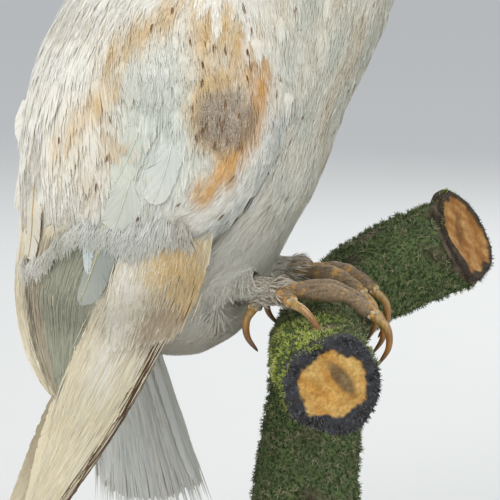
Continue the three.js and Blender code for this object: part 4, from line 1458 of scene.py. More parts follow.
def sleeveStrands(fan, side):
    rng = np.random.default_rng(57)
    spec, own = fanSpecs[fan], sleeveSpec[fan]
    swept = sweptBack["right" if side < 0 else "left"] if fan == "primaries" else 0
    made, runs = [], []
    lanes = 60
    each = own["count"] // lanes
    for lane in range(lanes):
        a = (lane + 0.5) / lanes
        surface = fanFeather(spec, side, swept, a)
        ends, _ = surface([0.0, 1.0], np.zeros(2))
        start = own["from"] + (own["to"] - own["from"]) * rng.random(each)
        reach = own["length"] / np.linalg.norm(ends[1] - ends[0]) * (0.7 + 0.6 * rng.random(each))
        made.append(laneRows(rng, surface, start, reach, 0.9, 0.35, own["rise"]))
        runs.append(np.full(each, a))
    rows, ups = (np.concatenate(part) for part in zip(*made))
    runs = np.concatenate(runs)
    many = len(rows)
    x, _, z = rows[:, 1].T
    streak = rng.uniform(-1, 1, many)
    if fan == "secondaries":
        # painted shade: the barbs over the inner secondaries are grey-green, and a dark umber band marks the
        # shaded gap between two bundles
        tint = painted(np.tile(shades["moss"], (many, 1)), [
            ("cream", smoothstep(0.5, 0.9, runs)),
            ("umber", 0.9 * np.exp(-(((runs - 0.79) / 0.045) ** 2))),
            ("mouse", 0.6 * np.exp(-(((runs - 0.66) / 0.06) ** 2))),
        ])
    else:
        tint = sleeveTint(x + streak * 2.5, z + 4 * rng.standard_normal(many), streak)
        tint[(rng.random(many) < 0.10) & (np.hypot(x + 44, z - 6) < 11)] = shades["umber"] * 1.2
        tint[(runs < 0.075) & (fan == "primaries") & (rng.random(many) < 0.75)] = shades["umber"] * 1.3
    tint = tint * uneven(rng, 0.06, many, 1)
    halves = sleeveHalf * (0.7 + 0.6 * rng.random(many))
    home = np.column_stack([runs, (rows[:, 0, 2] + 150) / 200]) * 0.98 + 0.01
    return ribbons(rows, ups, halves, tint, home)


for sideName, side in bothSides:
    strands = joined([sleeveStrands(fan, side) for fan in fanSpecs])
    addShape(f"barbs_wing_{sideName}", strands, coatMaterial, "flight_feathers")

# Large smooth coverts laid over the coat and over the tops of the fans: root (x, z), tip (x, z),
# the vanes' widths towards the front and back, how high they lie, the vane's and the shaft's colour.
coverts = [
    ((-48, 76), (-57, 42), 5.5, 10.0, 2.0, "d0d4ce", "ebece4"),
    ((-59, 84), (-72, 50), 6.5, 6.0, 1.7, "cdd2c7", "e2e5da"),
    ((-62, 66), (-80, 17), 7.5, 6.5, 2.1, "cbcec5", "e4e5da"),
    # painted shade: this covert lies in the shade over the secondaries and is a darker grey-green
    ((-74, 44), (-90, -1), 8.5, 3.2, 3.4, "9fa59f", "e6dca8"),
    ((-88, 36), (-85, 12), 2.6, 2.6, 3.4, "c6cfd2", "e4e8e8"),
    ((-112, 44), (-115, 14), 4.5, 4.0, 2.4, "dfd8c8", "d0ba86"),
]
covertLay = {
    "sunk": 3.5, "dive": 3.4, "bow": (1.6, 1.6), "stack": 0, "point": 0.35, "barbs": 46, "quill": 0.3,
    "pale": 1, "ragged": 0.8,
}


def covertTint(shade):
    def tintAt(s, w, points):
        run = ripple(np.column_stack([w * 1.4, s * 5, s * 0]), 1.7, 4)[:, None]
        made = colour(shade) * (1 + 0.035 * run)
        return lerp(made, colour("eeece2"), (0.2 * smoothstep(0.6, 1.0, s))[:, None])

    return tintAt


for sideName, side in bothSides:
    parts = []
    for k, (root, tip, lead, trail, over, shade, shaft) in enumerate(coverts):
        own = dict(covertLay, roots=[root, root], tips=[tip, tip], lead=lead, trail=trail, over=over)
        own["shaftTint"] = colour(shaft)
        made = flightFeather(own, fanFeather(own, side, 0, 0.5), covertTint(shade), cellOf(k, 4, 4))
        parts.append((made[0], made[1][:, ::side], made[2]))
    addShape(f"coverts_wing_{sideName}", joined(parts), flightMaterial, "flight_feathers")

fringeSpec = {
    "count": 2200, "from": -120, "to": -43, "length": 6.0, "half": 0.2, "above": 5.0,
    "rise": [0.6, 1.4, 1.6, 1.4],
    "lie": [(-125, 0.0), (-105, -0.05), (-85, -0.35), (-60, -0.35), (-48, 0.0), (-34, 0.4)],
}


def hemFringe(side):
    # loose barbs that hang over the tops of the fans from the coverts' hem
    rng = np.random.default_rng(63)
    spec = fringeSpec
    many = spec["count"]
    x = rng.uniform(spec["from"], spec["to"], many)
    wave = 2 * ripple(np.column_stack([x, x * 0, x * 0]), 3.0, 5)
    z = hemLevel(x) + spec["above"] * rng.random(many) - 2 + wave
    way = np.column_stack([np.interp(x, *np.array(spec["lie"]).T), -np.ones(many)])
    way = unit(way + np.column_stack([0.22 * rng.standard_normal(many), np.zeros(many)]))
    reach = spec["length"] * (0.6 + 0.8 * rng.random(many)) * (1 + np.exp(-(((x + 62) / 9) ** 2)))
    t = np.linspace(0, 1, 4)
    flat = np.column_stack([x, z])[:, None] + way[:, None] * (reach[:, None] * t)[:, :, None]
    rise = np.array(spec["rise"])[None] + 0.5 * rng.random((many, 1))
    level, slopeX, slopeZ = quillLevel(flat[:, :, 0], flat[:, :, 1], 1.4, 3.4 - 2.4 * (1 - t))
    ups = unit(np.dstack([-slopeX, np.ones_like(slopeX), -slopeZ])) * [1, side, 1]
    rows = np.dstack([flat[:, :, 0], level, flat[:, :, 1]]) * [1, side, 1] + ups * rise[:, :, None] * 0.6
    tint = lerp(plumage(rows[:, 0], np.ones(many))[0], colour("dcdeda"), 0.35)
    sage = smoothstep(-62, -74, x) * smoothstep(-104, -94, x)
    tint = lerp(tint, colour("c9cdc6"), (0.4 * sage * rng.random(many))[:, None])
    brown = np.exp(-(((x + 44) / 5) ** 2)) * (rng.random(many) < 0.3)
    tint = lerp(tint, colour("8f7a60"), (0.8 * brown)[:, None])
    tint = tint * uneven(rng, 0.06, many, 1)
    halves = spec["half"] * (0.7 + 0.6 * rng.random(many))
    return ribbons(rows, ups, halves, tint, unwrap(rows[:, 0]))


for sideName, side in bothSides:
    addShape(f"coat_hem_{sideName}", hemFringe(side), coatMaterial, "white_plumage")
print("stage: wing feathers")

tailSpec = {
    "root": (-96, 40), "tip": (-74, -97), "narrow": 6, "spread": 66, "twist": math.radians(33), "roll": 0.24,
    "count": 6, "lead": 6.5, "trail": 8.0, "point": 0.0, "barbs": 90, "shaft": False,
    "quill": 0.5, "pale": 0.1, "ragged": 0.35,
    "strands": {"count": 5400, "length": 26, "half": 0.22, "rise": [0.3, 1.0, 1.2, 1.1]},
}


def tailTurn(down):
    return tailSpec["twist"] * smoothstep(0, 0.6, down)


def tailPoint(across, down, depth):
    reach = down * (1 - 0.05 * across**2)
    wide = lerp(tailSpec["narrow"], tailSpec["spread"] / 2, np.maximum(down, 0) ** 1.4) * across
    turned = tailTurn(down)
    x = lerp(tailSpec["root"][0], tailSpec["tip"][0], reach) + depth * np.cos(turned)
    z = lerp(tailSpec["root"][1], tailSpec["tip"][1], reach) - tailSpec["roll"] * wide * down
    return np.column_stack([x + wide * np.sin(turned), wide * np.cos(turned) - depth * np.sin(turned), z])


def tailFeather(across, rank):
    def surface(s, w):
        down = np.asarray(s, float) * (0.965 + 0.035 * math.cos(across * 1.2))
        lift = 5 * across**2 - 0.9 + 0.22 * rank
        middle = tailPoint(across, down, lift)
        aside = unit(tailPoint(across + 0.02, down, lift) - tailPoint(across - 0.02, down, lift))
        turned = tailTurn(down)
        out = np.column_stack([np.cos(turned), -np.sin(turned), np.zeros(len(down))])
        narrow = np.interp(down, [0, 0.5, 1], [0.45, 0.8, 1.0])
        return middle + aside * (np.asarray(w) * narrow)[:, None], out

    return surface


def tailTint(s, w, points):
    run = ripple(np.column_stack([w, s * 12, points[:, 1] * 0.3]), 2.8, 11)
    made = np.tile(shades["white"], (len(s), 1))
    # painted shade: a cool grey-blue, uneven along the vanes, over the whole tail
    return painted(made, [("coolShade", 0.35 + 0.35 * run), ("mouse", 0.2 * smoothstep(0.4, 0.1, s))])


parts = []
for side in (1, -1):
    for k in range(tailSpec["count"]):
        across = side * (0.07 + 0.86 * k / (tailSpec["count"] - 1))
        own = dict(tailSpec)
        if k == tailSpec["count"] - 1:
            own["trail" if side > 0 else "lead"] = 2.6
        parts.append(flightFeather(own, tailFeather(across, k), tailTint, cellOf(len(parts), 4, 3)))
addShape("feathers_tail", joined(parts), flightMaterial, "flight_feathers", ["tail"])


def tailStrands():
    # fine barbs lying along the tail's underside and back
    rng = np.random.default_rng(71)
    spec = tailSpec["strands"]
    made, homes = [], []
    lanes = 54
    each = spec["count"] // lanes
    for lane in range(lanes):
        start = 0.1 + 0.78 * rng.random(each)
        reach = spec["length"] / 140 * (0.6 + 0.8 * rng.random(each))
        face = 1 if lane % 3 else -1
        surface = tailFeather(lerp(-0.97, 0.97, (lane + 0.5) / lanes), 2)
        rows, out = laneRows(rng, surface, start, reach, 0.8, 0.3, np.array(spec["rise"]) * face)
        made.append((rows, out * face))
        homes.append(np.column_stack([np.full(each, (lane + 0.5) / lanes), start]))
    rows, ups = (np.concatenate(part) for part in zip(*made))
    homes = np.concatenate(homes)
    many = len(rows)
    tint = tailTint(homes[:, 1], homes[:, 0] * 30, rows[:, 1])
    tint = lerp(tint, colour("e3e0cf"), (0.4 * smoothstep(0.2, 0.9, rng.uniform(-1, 1, many)))[:, None])
    tint = tint * uneven(rng, 0.05, many, 1)
    halves = spec["half"] * (0.7 + 0.6 * rng.random(many))
    return ribbons(rows, ups, halves, tint, homes * 0.98 + 0.01)


addShape("barbs_tail", tailStrands(), coatMaterial, "flight_feathers")
print("stage: tail")

# eyes, lids and bill
def eyeMaterial():
    sockets = {"Coat Weight": 1.0, "Coat Roughness": 0.02}
    material, tree, shader = newMaterial("darkGlassEye", 0.04, 0.6, **sockets)
    ring = marksOf(tree)[0]
    iris = times(tree, ramp(tree, ring, 0.50, 0.56), ramp(tree, ring, 0.98, 0.86))
    shade = mixed(tree, grain(tree, 700.0)["Grain"], colour(eyeSpec["iris"]), colour("170b06"))
    finish(tree, shader, mixed(tree, iris, colour(eyeSpec["glass"]), shade))
    return material


def lidMaterial():
    material, tree, shader = newMaterial("lidSkin", 0.55, 0.3)
    fine = grain(tree, 1800.0)
    base = mixed(tree, fine["Grain"], colour("7d5e55"), colour("a98678"))
    finish(tree, shader, base, fine["Relief"], 0.4, 0.0003)
    return material


eyeGlass, lidSkin = eyeMaterial(), lidMaterial()
lidParts = []
for sideName, side in bothSides:
    middle = eyeAt(side)
    gaze = unit(np.array([0.955, 0.30 * side, 0.0]))
    across = unit(np.cross([0, 0, 1.0], gaze))
    upAxis = np.cross(gaze, across)
    rings, marks = [], []
    for turn in np.linspace(0.04, math.pi - 0.04, 34):
        bulge = 1 + 0.06 * math.exp(-((turn / 0.62) ** 2))
        radius = (eyeSpec["radius"] - 0.12) * bulge
        angles = 2 * math.pi * np.arange(40) / 40
        around = np.outer(np.cos(angles), across) + np.outer(np.sin(angles), upAxis)
        rings.append(fromHead(middle + gaze * radius * math.cos(turn) + radius * math.sin(turn) * around))
        marks += [[min(turn / 0.95, 2), 0, 0]] * 40
    glass = (*closeRings(rings), {"marks": np.array(marks + [[0, 0, 0], [2, 0, 0]])})
    addShape(f"glass_eye_{sideName}", glass, eyeGlass, "glass_eye", [f"eye_{sideName}"])
    # a lid's rim: a soft ring round the opening, fuller above
    rings = []
    for turn in 2 * math.pi * np.arange(48) / 48:
        out = math.cos(turn) * across * 1.04 + math.sin(turn) * upAxis * 0.93
        upper = max(math.sin(turn), 0)
        centre = middle + gaze * (4.35 + 0.5 * upper) + out * eyeSpec["opening"]
        angles = 2 * math.pi * np.arange(8) / 8
        section = np.outer(np.cos(angles), unit(out)) + np.outer(np.sin(angles), gaze)
        rings.append(fromHead(centre + (0.75 + 0.45 * upper) * section))
    points = np.concatenate(rings)
    r, c = np.meshgrid(np.arange(48), np.arange(8), indexing="ij")
    a, b = r * 8 + c, r * 8 + (c + 1) % 8
    d, e = ((r + 1) % 48) * 8 + c, ((r + 1) % 48) * 8 + (c + 1) % 8
    triangles = [np.column_stack([v.ravel() for v in corners]) for corners in ((a, b, e), (a, e, d))]
    lidParts.append((points, outwards(points, np.vstack(triangles))))
addShape("eyelids", joined(lidParts)[:2], lidSkin, "toe_skin")

billSpec = {
    "ridge": [(16, 4.5), (22, 2.6), (29, 0), (35, -9), (35.5, -18), (33, -24)], "ridgeRoot": 6.5,
    "lower": [(14, -5), (24, -8), (30, -14), (31.5, -19.5)], "lowerRoot": 4.2, "squeeze": 0.75,
}


def billMaterial():
    sockets = {"Subsurface Weight": 0.12, "Subsurface Radius": (0.004, 0.002, 0.001)}
    material, tree, shader = newMaterial("paleHorn", 0.34, 0.45, **sockets)
    along = marksOf(tree)[0]
    fine = grain(tree, 500.0, (1, 1, 0.4))
    base = mixed(tree, ramp(tree, along, 0.25, 0.95), colour("dcc3b0"), colour("cdb694"))
    base = mixed(tree, ramp(tree, along, 0.26, 0.05), base, colour("b98f83"))
    base = mixed(tree, times(tree, fine["Grain"], 0.35), base, colour("a88e74"))
    finish(tree, shader, base, fine["Relief"], 0.25, 0.0003)
    return material


def alongMarks(t, sides):
    # how far along a tube each of its points lies
    return np.column_stack([np.append(np.repeat(t, sides), [0, 1]), np.zeros((len(t) * sides + 2, 2))])


def hornTube(line, root, squeeze, steps=36, sides=20):
    path = curvePoints(fromHead([(x, 0, z) for x, z in line]), steps)
    t = np.linspace(0, 1, steps)
    radii = root * np.sqrt(np.maximum(1 - t**2.2, 0.0015))
    return (*sweep(path, radii, sides, squeeze), {"marks": alongMarks(t, sides)})


upper = hornTube(billSpec["ridge"], billSpec["ridgeRoot"], billSpec["squeeze"])
lower = hornTube(billSpec["lower"], billSpec["lowerRoot"], 1.0)
addShape("horn_bill", joined([upper, lower]), billMaterial(), "bill_horn", ["bill"])
print("stage: eyes and bill")

# feet and claws
# Toes in the foot's own frame: forwards is +X and outwards is +Y. A toe ends where its claw begins.
footSpec = {"y": 24, "toe": 3.6, "claw": 1.95, "pad": (-13, 0, 1), "padRadius": 6.0, "voxel": 0.55}
toes = {
    "inner": ([(-14, -1, 1), (0, -7, 1.5), (12, -10, 0.5), (22, -11, -6)],
              [(28, -11.5, -11), (29, -11.5, -19), (25, -11, -26)]),
    "middle": ([(-14, 0, 1), (2, 1, 1.5), (16, 2, 0), (26, 2, -7)],
               [(32, 2.2, -12), (33, 2.4, -20), (28.5, 2.5, -28)]),
    "outer": ([(-14, 1, 1), (-9, 8, 0.5), (-5, 14, -1)], [(1, 19, -3), (6, 22, -8), (10, 24, -15)]),
    "spread": ([(-14, 1, 1), (-14, 9, 1), (-14, 15, 0)], [(-13, 20, 2), (-10, 25, 0), (-7, 28, -6)]),
    "hind": ([(-13, 0, 0), (-19, 0.5, -1.5), (-23, 1, -6)],
             [(-26, 1.5, -11), (-25.5, 2, -18), (-21, 2.5, -24)]),
}


def toeMaterial():
    material, tree, shader = newMaterial("toeScales", 0.62, 0.3)
    values = {"Vector": objectPlace(tree), "Scale": 900.0}
    scales = put(tree, "ShaderNodeTexVoronoi", values, feature="DISTANCE_TO_EDGE").outputs["Distance"]
    crack = ramp(tree, scales, 0.12, 0.0)
    fine = grain(tree, 1400.0)
    base = mixed(tree, times(tree, crack, 0.45), tintOf(tree), colour("4d3c2c"))
    base = mixed(tree, times(tree, fine["Grain"], 0.3), base, colour("b9a180"))
    height = math2(tree, "SUBTRACT", times(tree, fine["Relief"], 0.5), crack)
    finish(tree, shader, base, height, 0.5, 0.0003)
    return material


def clawMaterial():
    sockets = {"Coat Weight": 0.3, "Coat Roughness": 0.15}
    material, tree, shader = newMaterial("amberClaw", 0.3, 0.5, **sockets)
    along = marksOf(tree)[0]
    fine = grain(tree, 900.0, (1, 1, 0.3))
    base = mixed(tree, ramp(tree, along, 0.1, 0.6), colour("b8965c"), colour("a06c34"))
    base = mixed(tree, ramp(tree, along, 0.5, 1.0), base, colour("4f3219"))
    base = mixed(tree, times(tree, fine["Grain"], 0.45), base, colour("46301c"))
    finish(tree, shader, base, fine["Relief"], 0.2, 0.0002)
    return material


def footDown(points, normals):
    # short pale feathers over the back of the foot
    rng = np.random.default_rng(73)
    x, _, z = points.T
    where = np.flatnonzero((x < -9) & (x > -34) & (z > -3.5) & (normals[:, 2] > -0.6))
    pick = rng.choice(where, 900)
    pick = pick[rng.random(len(pick)) < smoothstep(-8, -20, x[pick])]
    start, up = points[pick], normals[pick]
    way = np.array([1.0, 0.0, -0.15]) + 0.16 * rng.standard_normal((len(pick), 3))
    way = unit(way - up * dots(way, up))
    reach = (4.5 + 2.5 * rng.random(len(pick)))[:, None]
    lift = ((0, 0), (0.35, 0.7), (0.7, 0.8), (1, 0.6))
    rows = np.stack([start + way * reach * s + up * rise for s, rise in lift], axis=1)
    tint = lerp(np.tile(colour("b3ab9b"), (len(pick), 1)), colour("dcd8cc"), rng.random((len(pick), 1)))
    halves = 0.28 + 0.14 * rng.random(len(pick))
    made = ribbons(rows, np.repeat(up[:, None], 4, axis=1), halves, tint, np.zeros((len(pick), 2)))
    return made[0], made[1], {"tint": made[2]["tint"]}


toeSkin, clawHorn = toeMaterial(), clawMaterial()
for sideName, side in bothSides:
    def inFoot(points):
        # the left foot's toes are drawn back a little
        curl = 0.86 if side > 0 else 1.0
        return [
            (min(x, -14) + (max(x, -14) + 14) * curl, side * (footSpec["y"] + y), z) for x, y, z in points
        ]

    outerName = "outer" if side < 0 else "spread"
    parts, lines, beads = [], [], []
    for toeName, key in (("inner", "inner"), ("middle", "middle"), ("outer", outerName), ("hind", "hind")):
        line, claw = toes[key]
        path = curvePoints(inFoot(line), 26)
        t = np.linspace(0, 1, 26)
        radii = footSpec["toe"] * (1 + 0.16 * np.cos(t * 4 * math.pi)) * lerp(1.06, 0.84, t)
        radii = radii * np.sqrt(np.clip((1.02 - t) / 0.1, 0.05, 1))
        parts.append(sweep(path, radii, 14))
        lines.append(path)
        clawPath = curvePoints(inFoot([line[-1]] + claw), 26)
        clawRadii = footSpec["claw"] * np.sqrt(np.maximum(1 - t, 0)) + 0.12
        clawRadii[0] *= 1.12
        for k in range(9):
            # beaded scutes round the claw's root
            turn = math.radians(-115 + 230 * k / 8)
            ahead = unit(clawPath[1] - clawPath[0])
            aside = unit(np.cross(ahead, [0, 0, 1.0]))
            out = aside * math.sin(turn) + np.cross(aside, ahead) * math.cos(turn)
            bead = clawPath[0] + out * footSpec["claw"] * 1.05 + ahead * (0.7 * (k % 2) - 0.4)
            swell = np.linspace(-1.3, 1.3, 7)
            beads.append(sweep(bead + np.outer(np.sin(swell), ahead), 0.95 * np.cos(swell), 8))
        talon = (*sweep(clawPath, clawRadii, 14, 0.86), {"marks": alongMarks(t, 14)})
        name = f"{sideName}_{toeName}"
        addShape(f"talon_{name}", talon, clawHorn, "claw_horn", [f"claw_{name}"])
    pad = np.array(inFoot([footSpec["pad"]])[0])
    swell = np.linspace(-1.4, 1.4, 9)
    ball = [pad + (math.sin(a) * footSpec["padRadius"], 0, 0) for a in swell]
    parts.append(sweep(ball, footSpec["padRadius"] * np.cos(swell), 16))
    shankEnd = curvePoints([(-30, side * 24.2, 1.8), (-20, side * 24, 2.4), (-12, side * 24, 1.5)], 8)
    parts.append(sweep(shankEnd, np.full(8, 3.9), 14))
    points, faces, _ = joined(parts)
    points, faces, normals = remeshed(points, faces, footSpec["voxel"], 6)
    # cross scutes on top of each toe, and soft pads beneath
    samples = np.vstack(lines)
    placeAlong = np.tile(np.linspace(0, 1, 26), 4)
    spans = [np.linalg.norm(np.diff(line, axis=0), axis=1).sum() for line in lines]
    near = np.array([np.argmin(((samples - p) ** 2).sum(1)) for p in points])
    run = placeAlong[near] * np.repeat(spans, 26)[near]
    top = smoothstep(0.15, 0.7, normals[:, 2])
    scute = np.abs(np.sin(run * math.pi / 1.9))
    under = smoothstep(0.2, 0.8, -normals[:, 2])
    points = points + normals * (0.42 * top * (scute - 0.5) + 0.22 * under * ripple(points, 1.6, 4))[:, None]
    tint = np.tile(colour("7f6c54"), (len(points), 1))
    warm = smoothstep(0.05, 0.6, ripple(points, 6.5, 2) + 0.6 * ripple(points, 2.1, 7))[:, None]
    warm = warm * smoothstep(-0.9, 0.4, normals[:, 2])[:, None]
    streak = smoothstep(0.2, 0.8, ripple(points * [0.2, 1, 1], 0.9, 6))[:, None]
    tint = lerp(tint, colour("cf9a48"), 0.85 * warm)
    tint = lerp(tint, colour("b5ae9f"), (0.8 * smoothstep(-8, -20, points[:, 0]))[:, None])
    tint = lerp(tint, colour("3c3026"), 0.78 * streak)
    tint = lerp(tint, colour("4d3d2e"), (0.5 * top * smoothstep(0.35, 0.05, scute))[:, None])
    beadShades = np.array([colour("d9c38f"), colour("c9933f"), colour("b9ab8e")])
    beadTint = beadShades[np.repeat(np.arange(len(beads)) % 3, len(beads[0][0]))]
    foot = joined([
        (points, faces, {"tint": tint}), (*joined(beads)[:2], {"tint": beadTint}), footDown(points, normals),
    ])
    addShape(f"scaly_foot_{sideName}", foot, toeSkin, "toe_skin", [f"foot_{sideName}"])
print("stage: feet")

# branch
logSpec = {
    "stub": 19, "trunk": 26, "flare": 7, "limb": 16, "swell": 4.5, "floor": -185 + 18.35, "voxel": 1.25,
    "rise": [(-14, 36, -170.65), (-10, 35, -110), (-6, 34, -60), (-3, 34, -26), (18, 50, -6), (60, 66, 13)],
    "run": [(-3, 36, -26), (-2, 12, -26), (3, -22, -26.5), (15, -63, -28.5)],
}


def barkRadius(base, t, seed, sides):
    angle = 2 * math.pi * np.arange(sides) / sides
    return base * (1 + 0.05 * np.sin(3 * angle + seed + 5 * t) + 0.03 * np.sin(5 * angle - 2 * seed + 11 * t))


riseT = np.linspace(0, 1, 60)
risePath = curvePoints(logSpec["rise"], 60)
riseRadius = lerp(logSpec["trunk"], logSpec["limb"], smoothstep(0, 1, riseT))
riseRadius = riseRadius + logSpec["flare"] * np.exp(-riseT * 14)
riseRadius = riseRadius + logSpec["swell"] * smoothstep(0.64, 0.88, riseT)
riseRings = [barkRadius(radius, t, 1, 48) for radius, t in zip(riseRadius, riseT)]
runPath = curvePoints(logSpec["run"], 44)
runRings = [barkRadius(logSpec["stub"], t, 2, 48) for t in np.linspace(0, 1, 44)]
drawnBack = 2  # steps by which the bark stops short of its cut ends
trunkBody = sweep(risePath[:-drawnBack], riseRings[:-drawnBack], 48)
stubBody = sweep(runPath[:-drawnBack], runRings[:-drawnBack], 48)
points, faces, _ = joined([trunkBody, stubBody])
points, faces, normals = remeshed(points, faces, logSpec["voxel"], 3)
limbAhead = unit(risePath[-1] - risePath[-4])
ends = {
    "stub": (runPath[-1], unit(runPath[-1] - runPath[-4]), logSpec["stub"]),
    "limb": (risePath[-1] - limbAhead * 3, unit(limbAhead + np.array([0.05, -0.6, 0.1])), riseRadius[-1]),
}
nearEnd = np.zeros(len(points))
for centre, axis, radius in ends.values():
    away = (points - centre) @ axis
    flat = np.linalg.norm(points - centre - np.outer(away, axis), axis=1)
    nearEnd = np.maximum(nearEnd, smoothstep(-6, -2, away) * (flat < radius * 1.2))
centre, axis, _ = ends["limb"]
beyond = np.maximum((points - centre) @ axis + 1.5, 0) * (np.linalg.norm(points - centre, axis=1) < 34)
points = points - np.outer(beyond / (axis @ limbAhead), limbAhead)
knobs = 0.9 * ripple(points, 11, 6) + 0.55 * ripple(points, 4.2, 9) + 0.3 * ripple(points, 2.1, 12)
points = points + normals * ((knobs - 0.9) * (1 - nearEnd))[:, None]
points[:, 2] = np.maximum(points[:, 2], logSpec["floor"])
lush = np.clip(0.62 + 0.5 * ripple(points, 16, 14), 0.12, 1)
moss = (1 - nearEnd) * lush * (points[:, 2] > logSpec["floor"] + 3)


def barkMaterial():
    material, tree, shader = newMaterial("mossyBark", 0.95, 0.12)
    coarse = grain(tree, 120.0)
    fine = grain(tree, 700.0)
    bark = mixed(tree, coarse["Grain"], colour("3a3228"), colour("6e6252"))
    green = mixed(tree, fine["Grain"], colour("2f3c24"), colour("66764a"))
    base = mixed(tree, ramp(tree, marksOf(tree)[0], 0.2, 0.55), bark, green)
    height = math2(tree, "ADD", coarse["Relief"], times(tree, fine["Relief"], 0.6))
    finish(tree, shader, base, height, 1.0, 0.0012)
    return material


marks = np.column_stack([moss, np.zeros((len(moss), 2))])
barkMesh = meshOf("branch_bark", points, faces, {"marks": marks})
high = smoothstep(-58, -50, points[:, 2])
for name, share in (("mossHigh", high), ("mossLow", 1 - high)):
    growth = barkMesh.attributes.new(name, "FLOAT", "POINT")
    growth.data.foreach_set("value", (moss * share).astype(np.float32))
addPiece(barkMesh, barkMaterial(), "mossy_bark", ["perch_branch"])


def cutFace(centre, axis, radius, woodShare, tones, seed, char):
    # a sawn end: uneven wood inside a ragged rim that turns back over the bark
    side = unit(np.cross(axis, [0, 0, 1.0]))
    up = np.cross(side, axis)
    around = 144
    turned = -1 if axis[1] < -0.7 else 1
    angle = 2 * math.pi * np.arange(around) / around
    edge = barkRadius(radius, 1.0, seed, around) / radius
    steps = np.concatenate([np.linspace(0.03, 1.0, 44), [1.03, 1.04, 1.03, 0.98]])
    back = np.concatenate([np.zeros(44), [0.8, 2.4, 4.5, 6.0]])
    rings, tints = [], []
    for share, drop in zip(steps, back):
        reach = radius * share
        place = centre + reach * (edge * np.cos(angle))[:, None] * side
        place = place + reach * (edge * np.sin(angle))[:, None] * up
        wobble = ripple(place, 5.0, seed) + 0.6 * ripple(place, 2.0, seed + 3)
        limit = woodShare + 0.13 * ripple(place, 8.0, seed + 5) + 0.05 * ripple(place, 2.4, seed + 6)
        isChar = smoothstep(limit - 0.035, limit + 0.035, np.full(around, share))
        height = -0.9 + 0.35 * wobble * (1 - isChar) + isChar * (0.7 + char * wobble) - drop
        rings.append(place + axis * height[:, None])
        wood = lerp(tones[0], tones[1], smoothstep(-0.6, 0.8, ripple(place, 6.0, seed + 8))[:, None])
        across, rise = (place - centre) @ side / radius, (place - centre) @ up / radius
        u, v = across * turned - 0.2, rise - 0.14
        stain = np.exp(-(((0.79 * u + 0.61 * v) / 0.15) ** 2) - (((0.61 * u - 0.79 * v) / 0.42) ** 2))
        stain = smoothstep(0.1, 0.6, stain)
        wood = lerp(wood, tones[3], (0.85 * stain * (1 if char > 0.5 else 0.6))[:, None])
        flecks = 0.6 * smoothstep(0.3, 1.0, ripple(place, 0.8, seed + 9))
        rim = lerp(tones[2], tones[4], flecks[:, None])
        tints.append(lerp(wood, rim, isChar[:, None]))
    tint = np.vstack(tints + [tints[0].mean(0), tints[-1].mean(0)])
    return (*closeRings(rings), {"tint": tint})


def cutMaterial():
    material, tree, shader = newMaterial("sawnWood", 0.85, 0.2)
    tint = tintOf(tree)
    fine, coarse = grain(tree, 800.0), grain(tree, 250.0)
    base = darkened(tree, tint, times(tree, fine["Grain"], 0.35), "8a765c")
    broad = mixed(tree, 1.0, tint, colour("b3a188"), "MULTIPLY")
    base = mixed(tree, times(tree, coarse["Grain"], 0.5), base, broad)
    finish(tree, shader, base, fine["Relief"], 0.8, 0.0008)
    return material


sawn = cutMaterial()
burnt = [colour("d09c50"), colour("e2bc74"), colour("434449"), colour("75654c"), colour("85868a")]
aged = [colour("ab763c"), colour("d0a264"), colour("4c4237"), colour("6c4424"), colour("6b5c4b")]
addShape("branch_stub_cut", cutFace(*ends["stub"], 0.7, burnt, 3, 0.9), sawn, "mossy_bark")
addShape("branch_limb_cut", cutFace(*ends["limb"], 0.84, aged, 5, 0.4), sawn, "mossy_bark")


def charFibres(centre, axis, radius, seed, spec):
    # short dark threads standing around a sawn end's rim
    rng = np.random.default_rng(seed)
    side = unit(np.cross(axis, [0, 0, 1.0]))
    up = np.cross(side, axis)
    many = spec["count"]
    angle = 2 * math.pi * rng.random(many)
    share = np.sqrt(rng.uniform(spec["inner"] ** 2, 1.06, many))
    ring = barkRadius(radius, 1.0, seed, 96)
    edge = np.interp(angle, 2 * math.pi * np.arange(97) / 96, np.append(ring, ring[0]))
    outward = np.cos(angle)[:, None] * side + np.sin(angle)[:, None] * up
    place = centre + outward * (edge * np.minimum(share, 1.0))[:, None]
    place = place - axis * (np.maximum(share - 1, 0) * 40)[:, None] - axis * 0.8
    way = outward * 0.8 + axis * (0.6 - 0.5 * (share > 1))[:, None]
    way = unit(way + 0.5 * rng.standard_normal((many, 3)))
    length = spec["length"] * (0.5 + rng.random(many))
    t = np.linspace(0, 1, 4)
    rows = place[:, None] + way[:, None] * (length[:, None] * t)[:, :, None]
    rows = rows - np.array([0, 0, 0.4]) * (t**2)[None, :, None]
    ups = np.repeat(unit(axis + 0.2 * outward)[:, None], 4, axis=1)
    tint = lerp(colour("333438"), colour("8c8d91"), smoothstep(0.45, 1.0, rng.random(many))[:, None])
    green = smoothstep(0.2, 0.8, outward @ np.array([-0.85, 0, 0.5])) * (share > 0.93)
    tint = lerp(tint, colour("a9bb52"), (green * (rng.random(many) < 0.7))[:, None])
    home = np.column_stack([angle / 6.3, np.minimum(share, 1.0)]) * 0.98 + 0.01
    return ribbons(rows, ups, spec["half"] * (0.6 + 0.8 * rng.random(many)), tint, home)


fibreSpec = {"count": 3000, "length": 1.7, "half": 0.15, "inner": 0.76}
for name, (centre, axis, radius), seed, spec in (
    ("branch_stub_fibres", ends["stub"], 3, fibreSpec),
    ("branch_limb_fibres", ends["limb"], 5, dict(fibreSpec, count=1200, inner=0.93)),
):
    addShape(name, charFibres(centre, axis, radius, seed, spec), sawn, "mossy_bark")


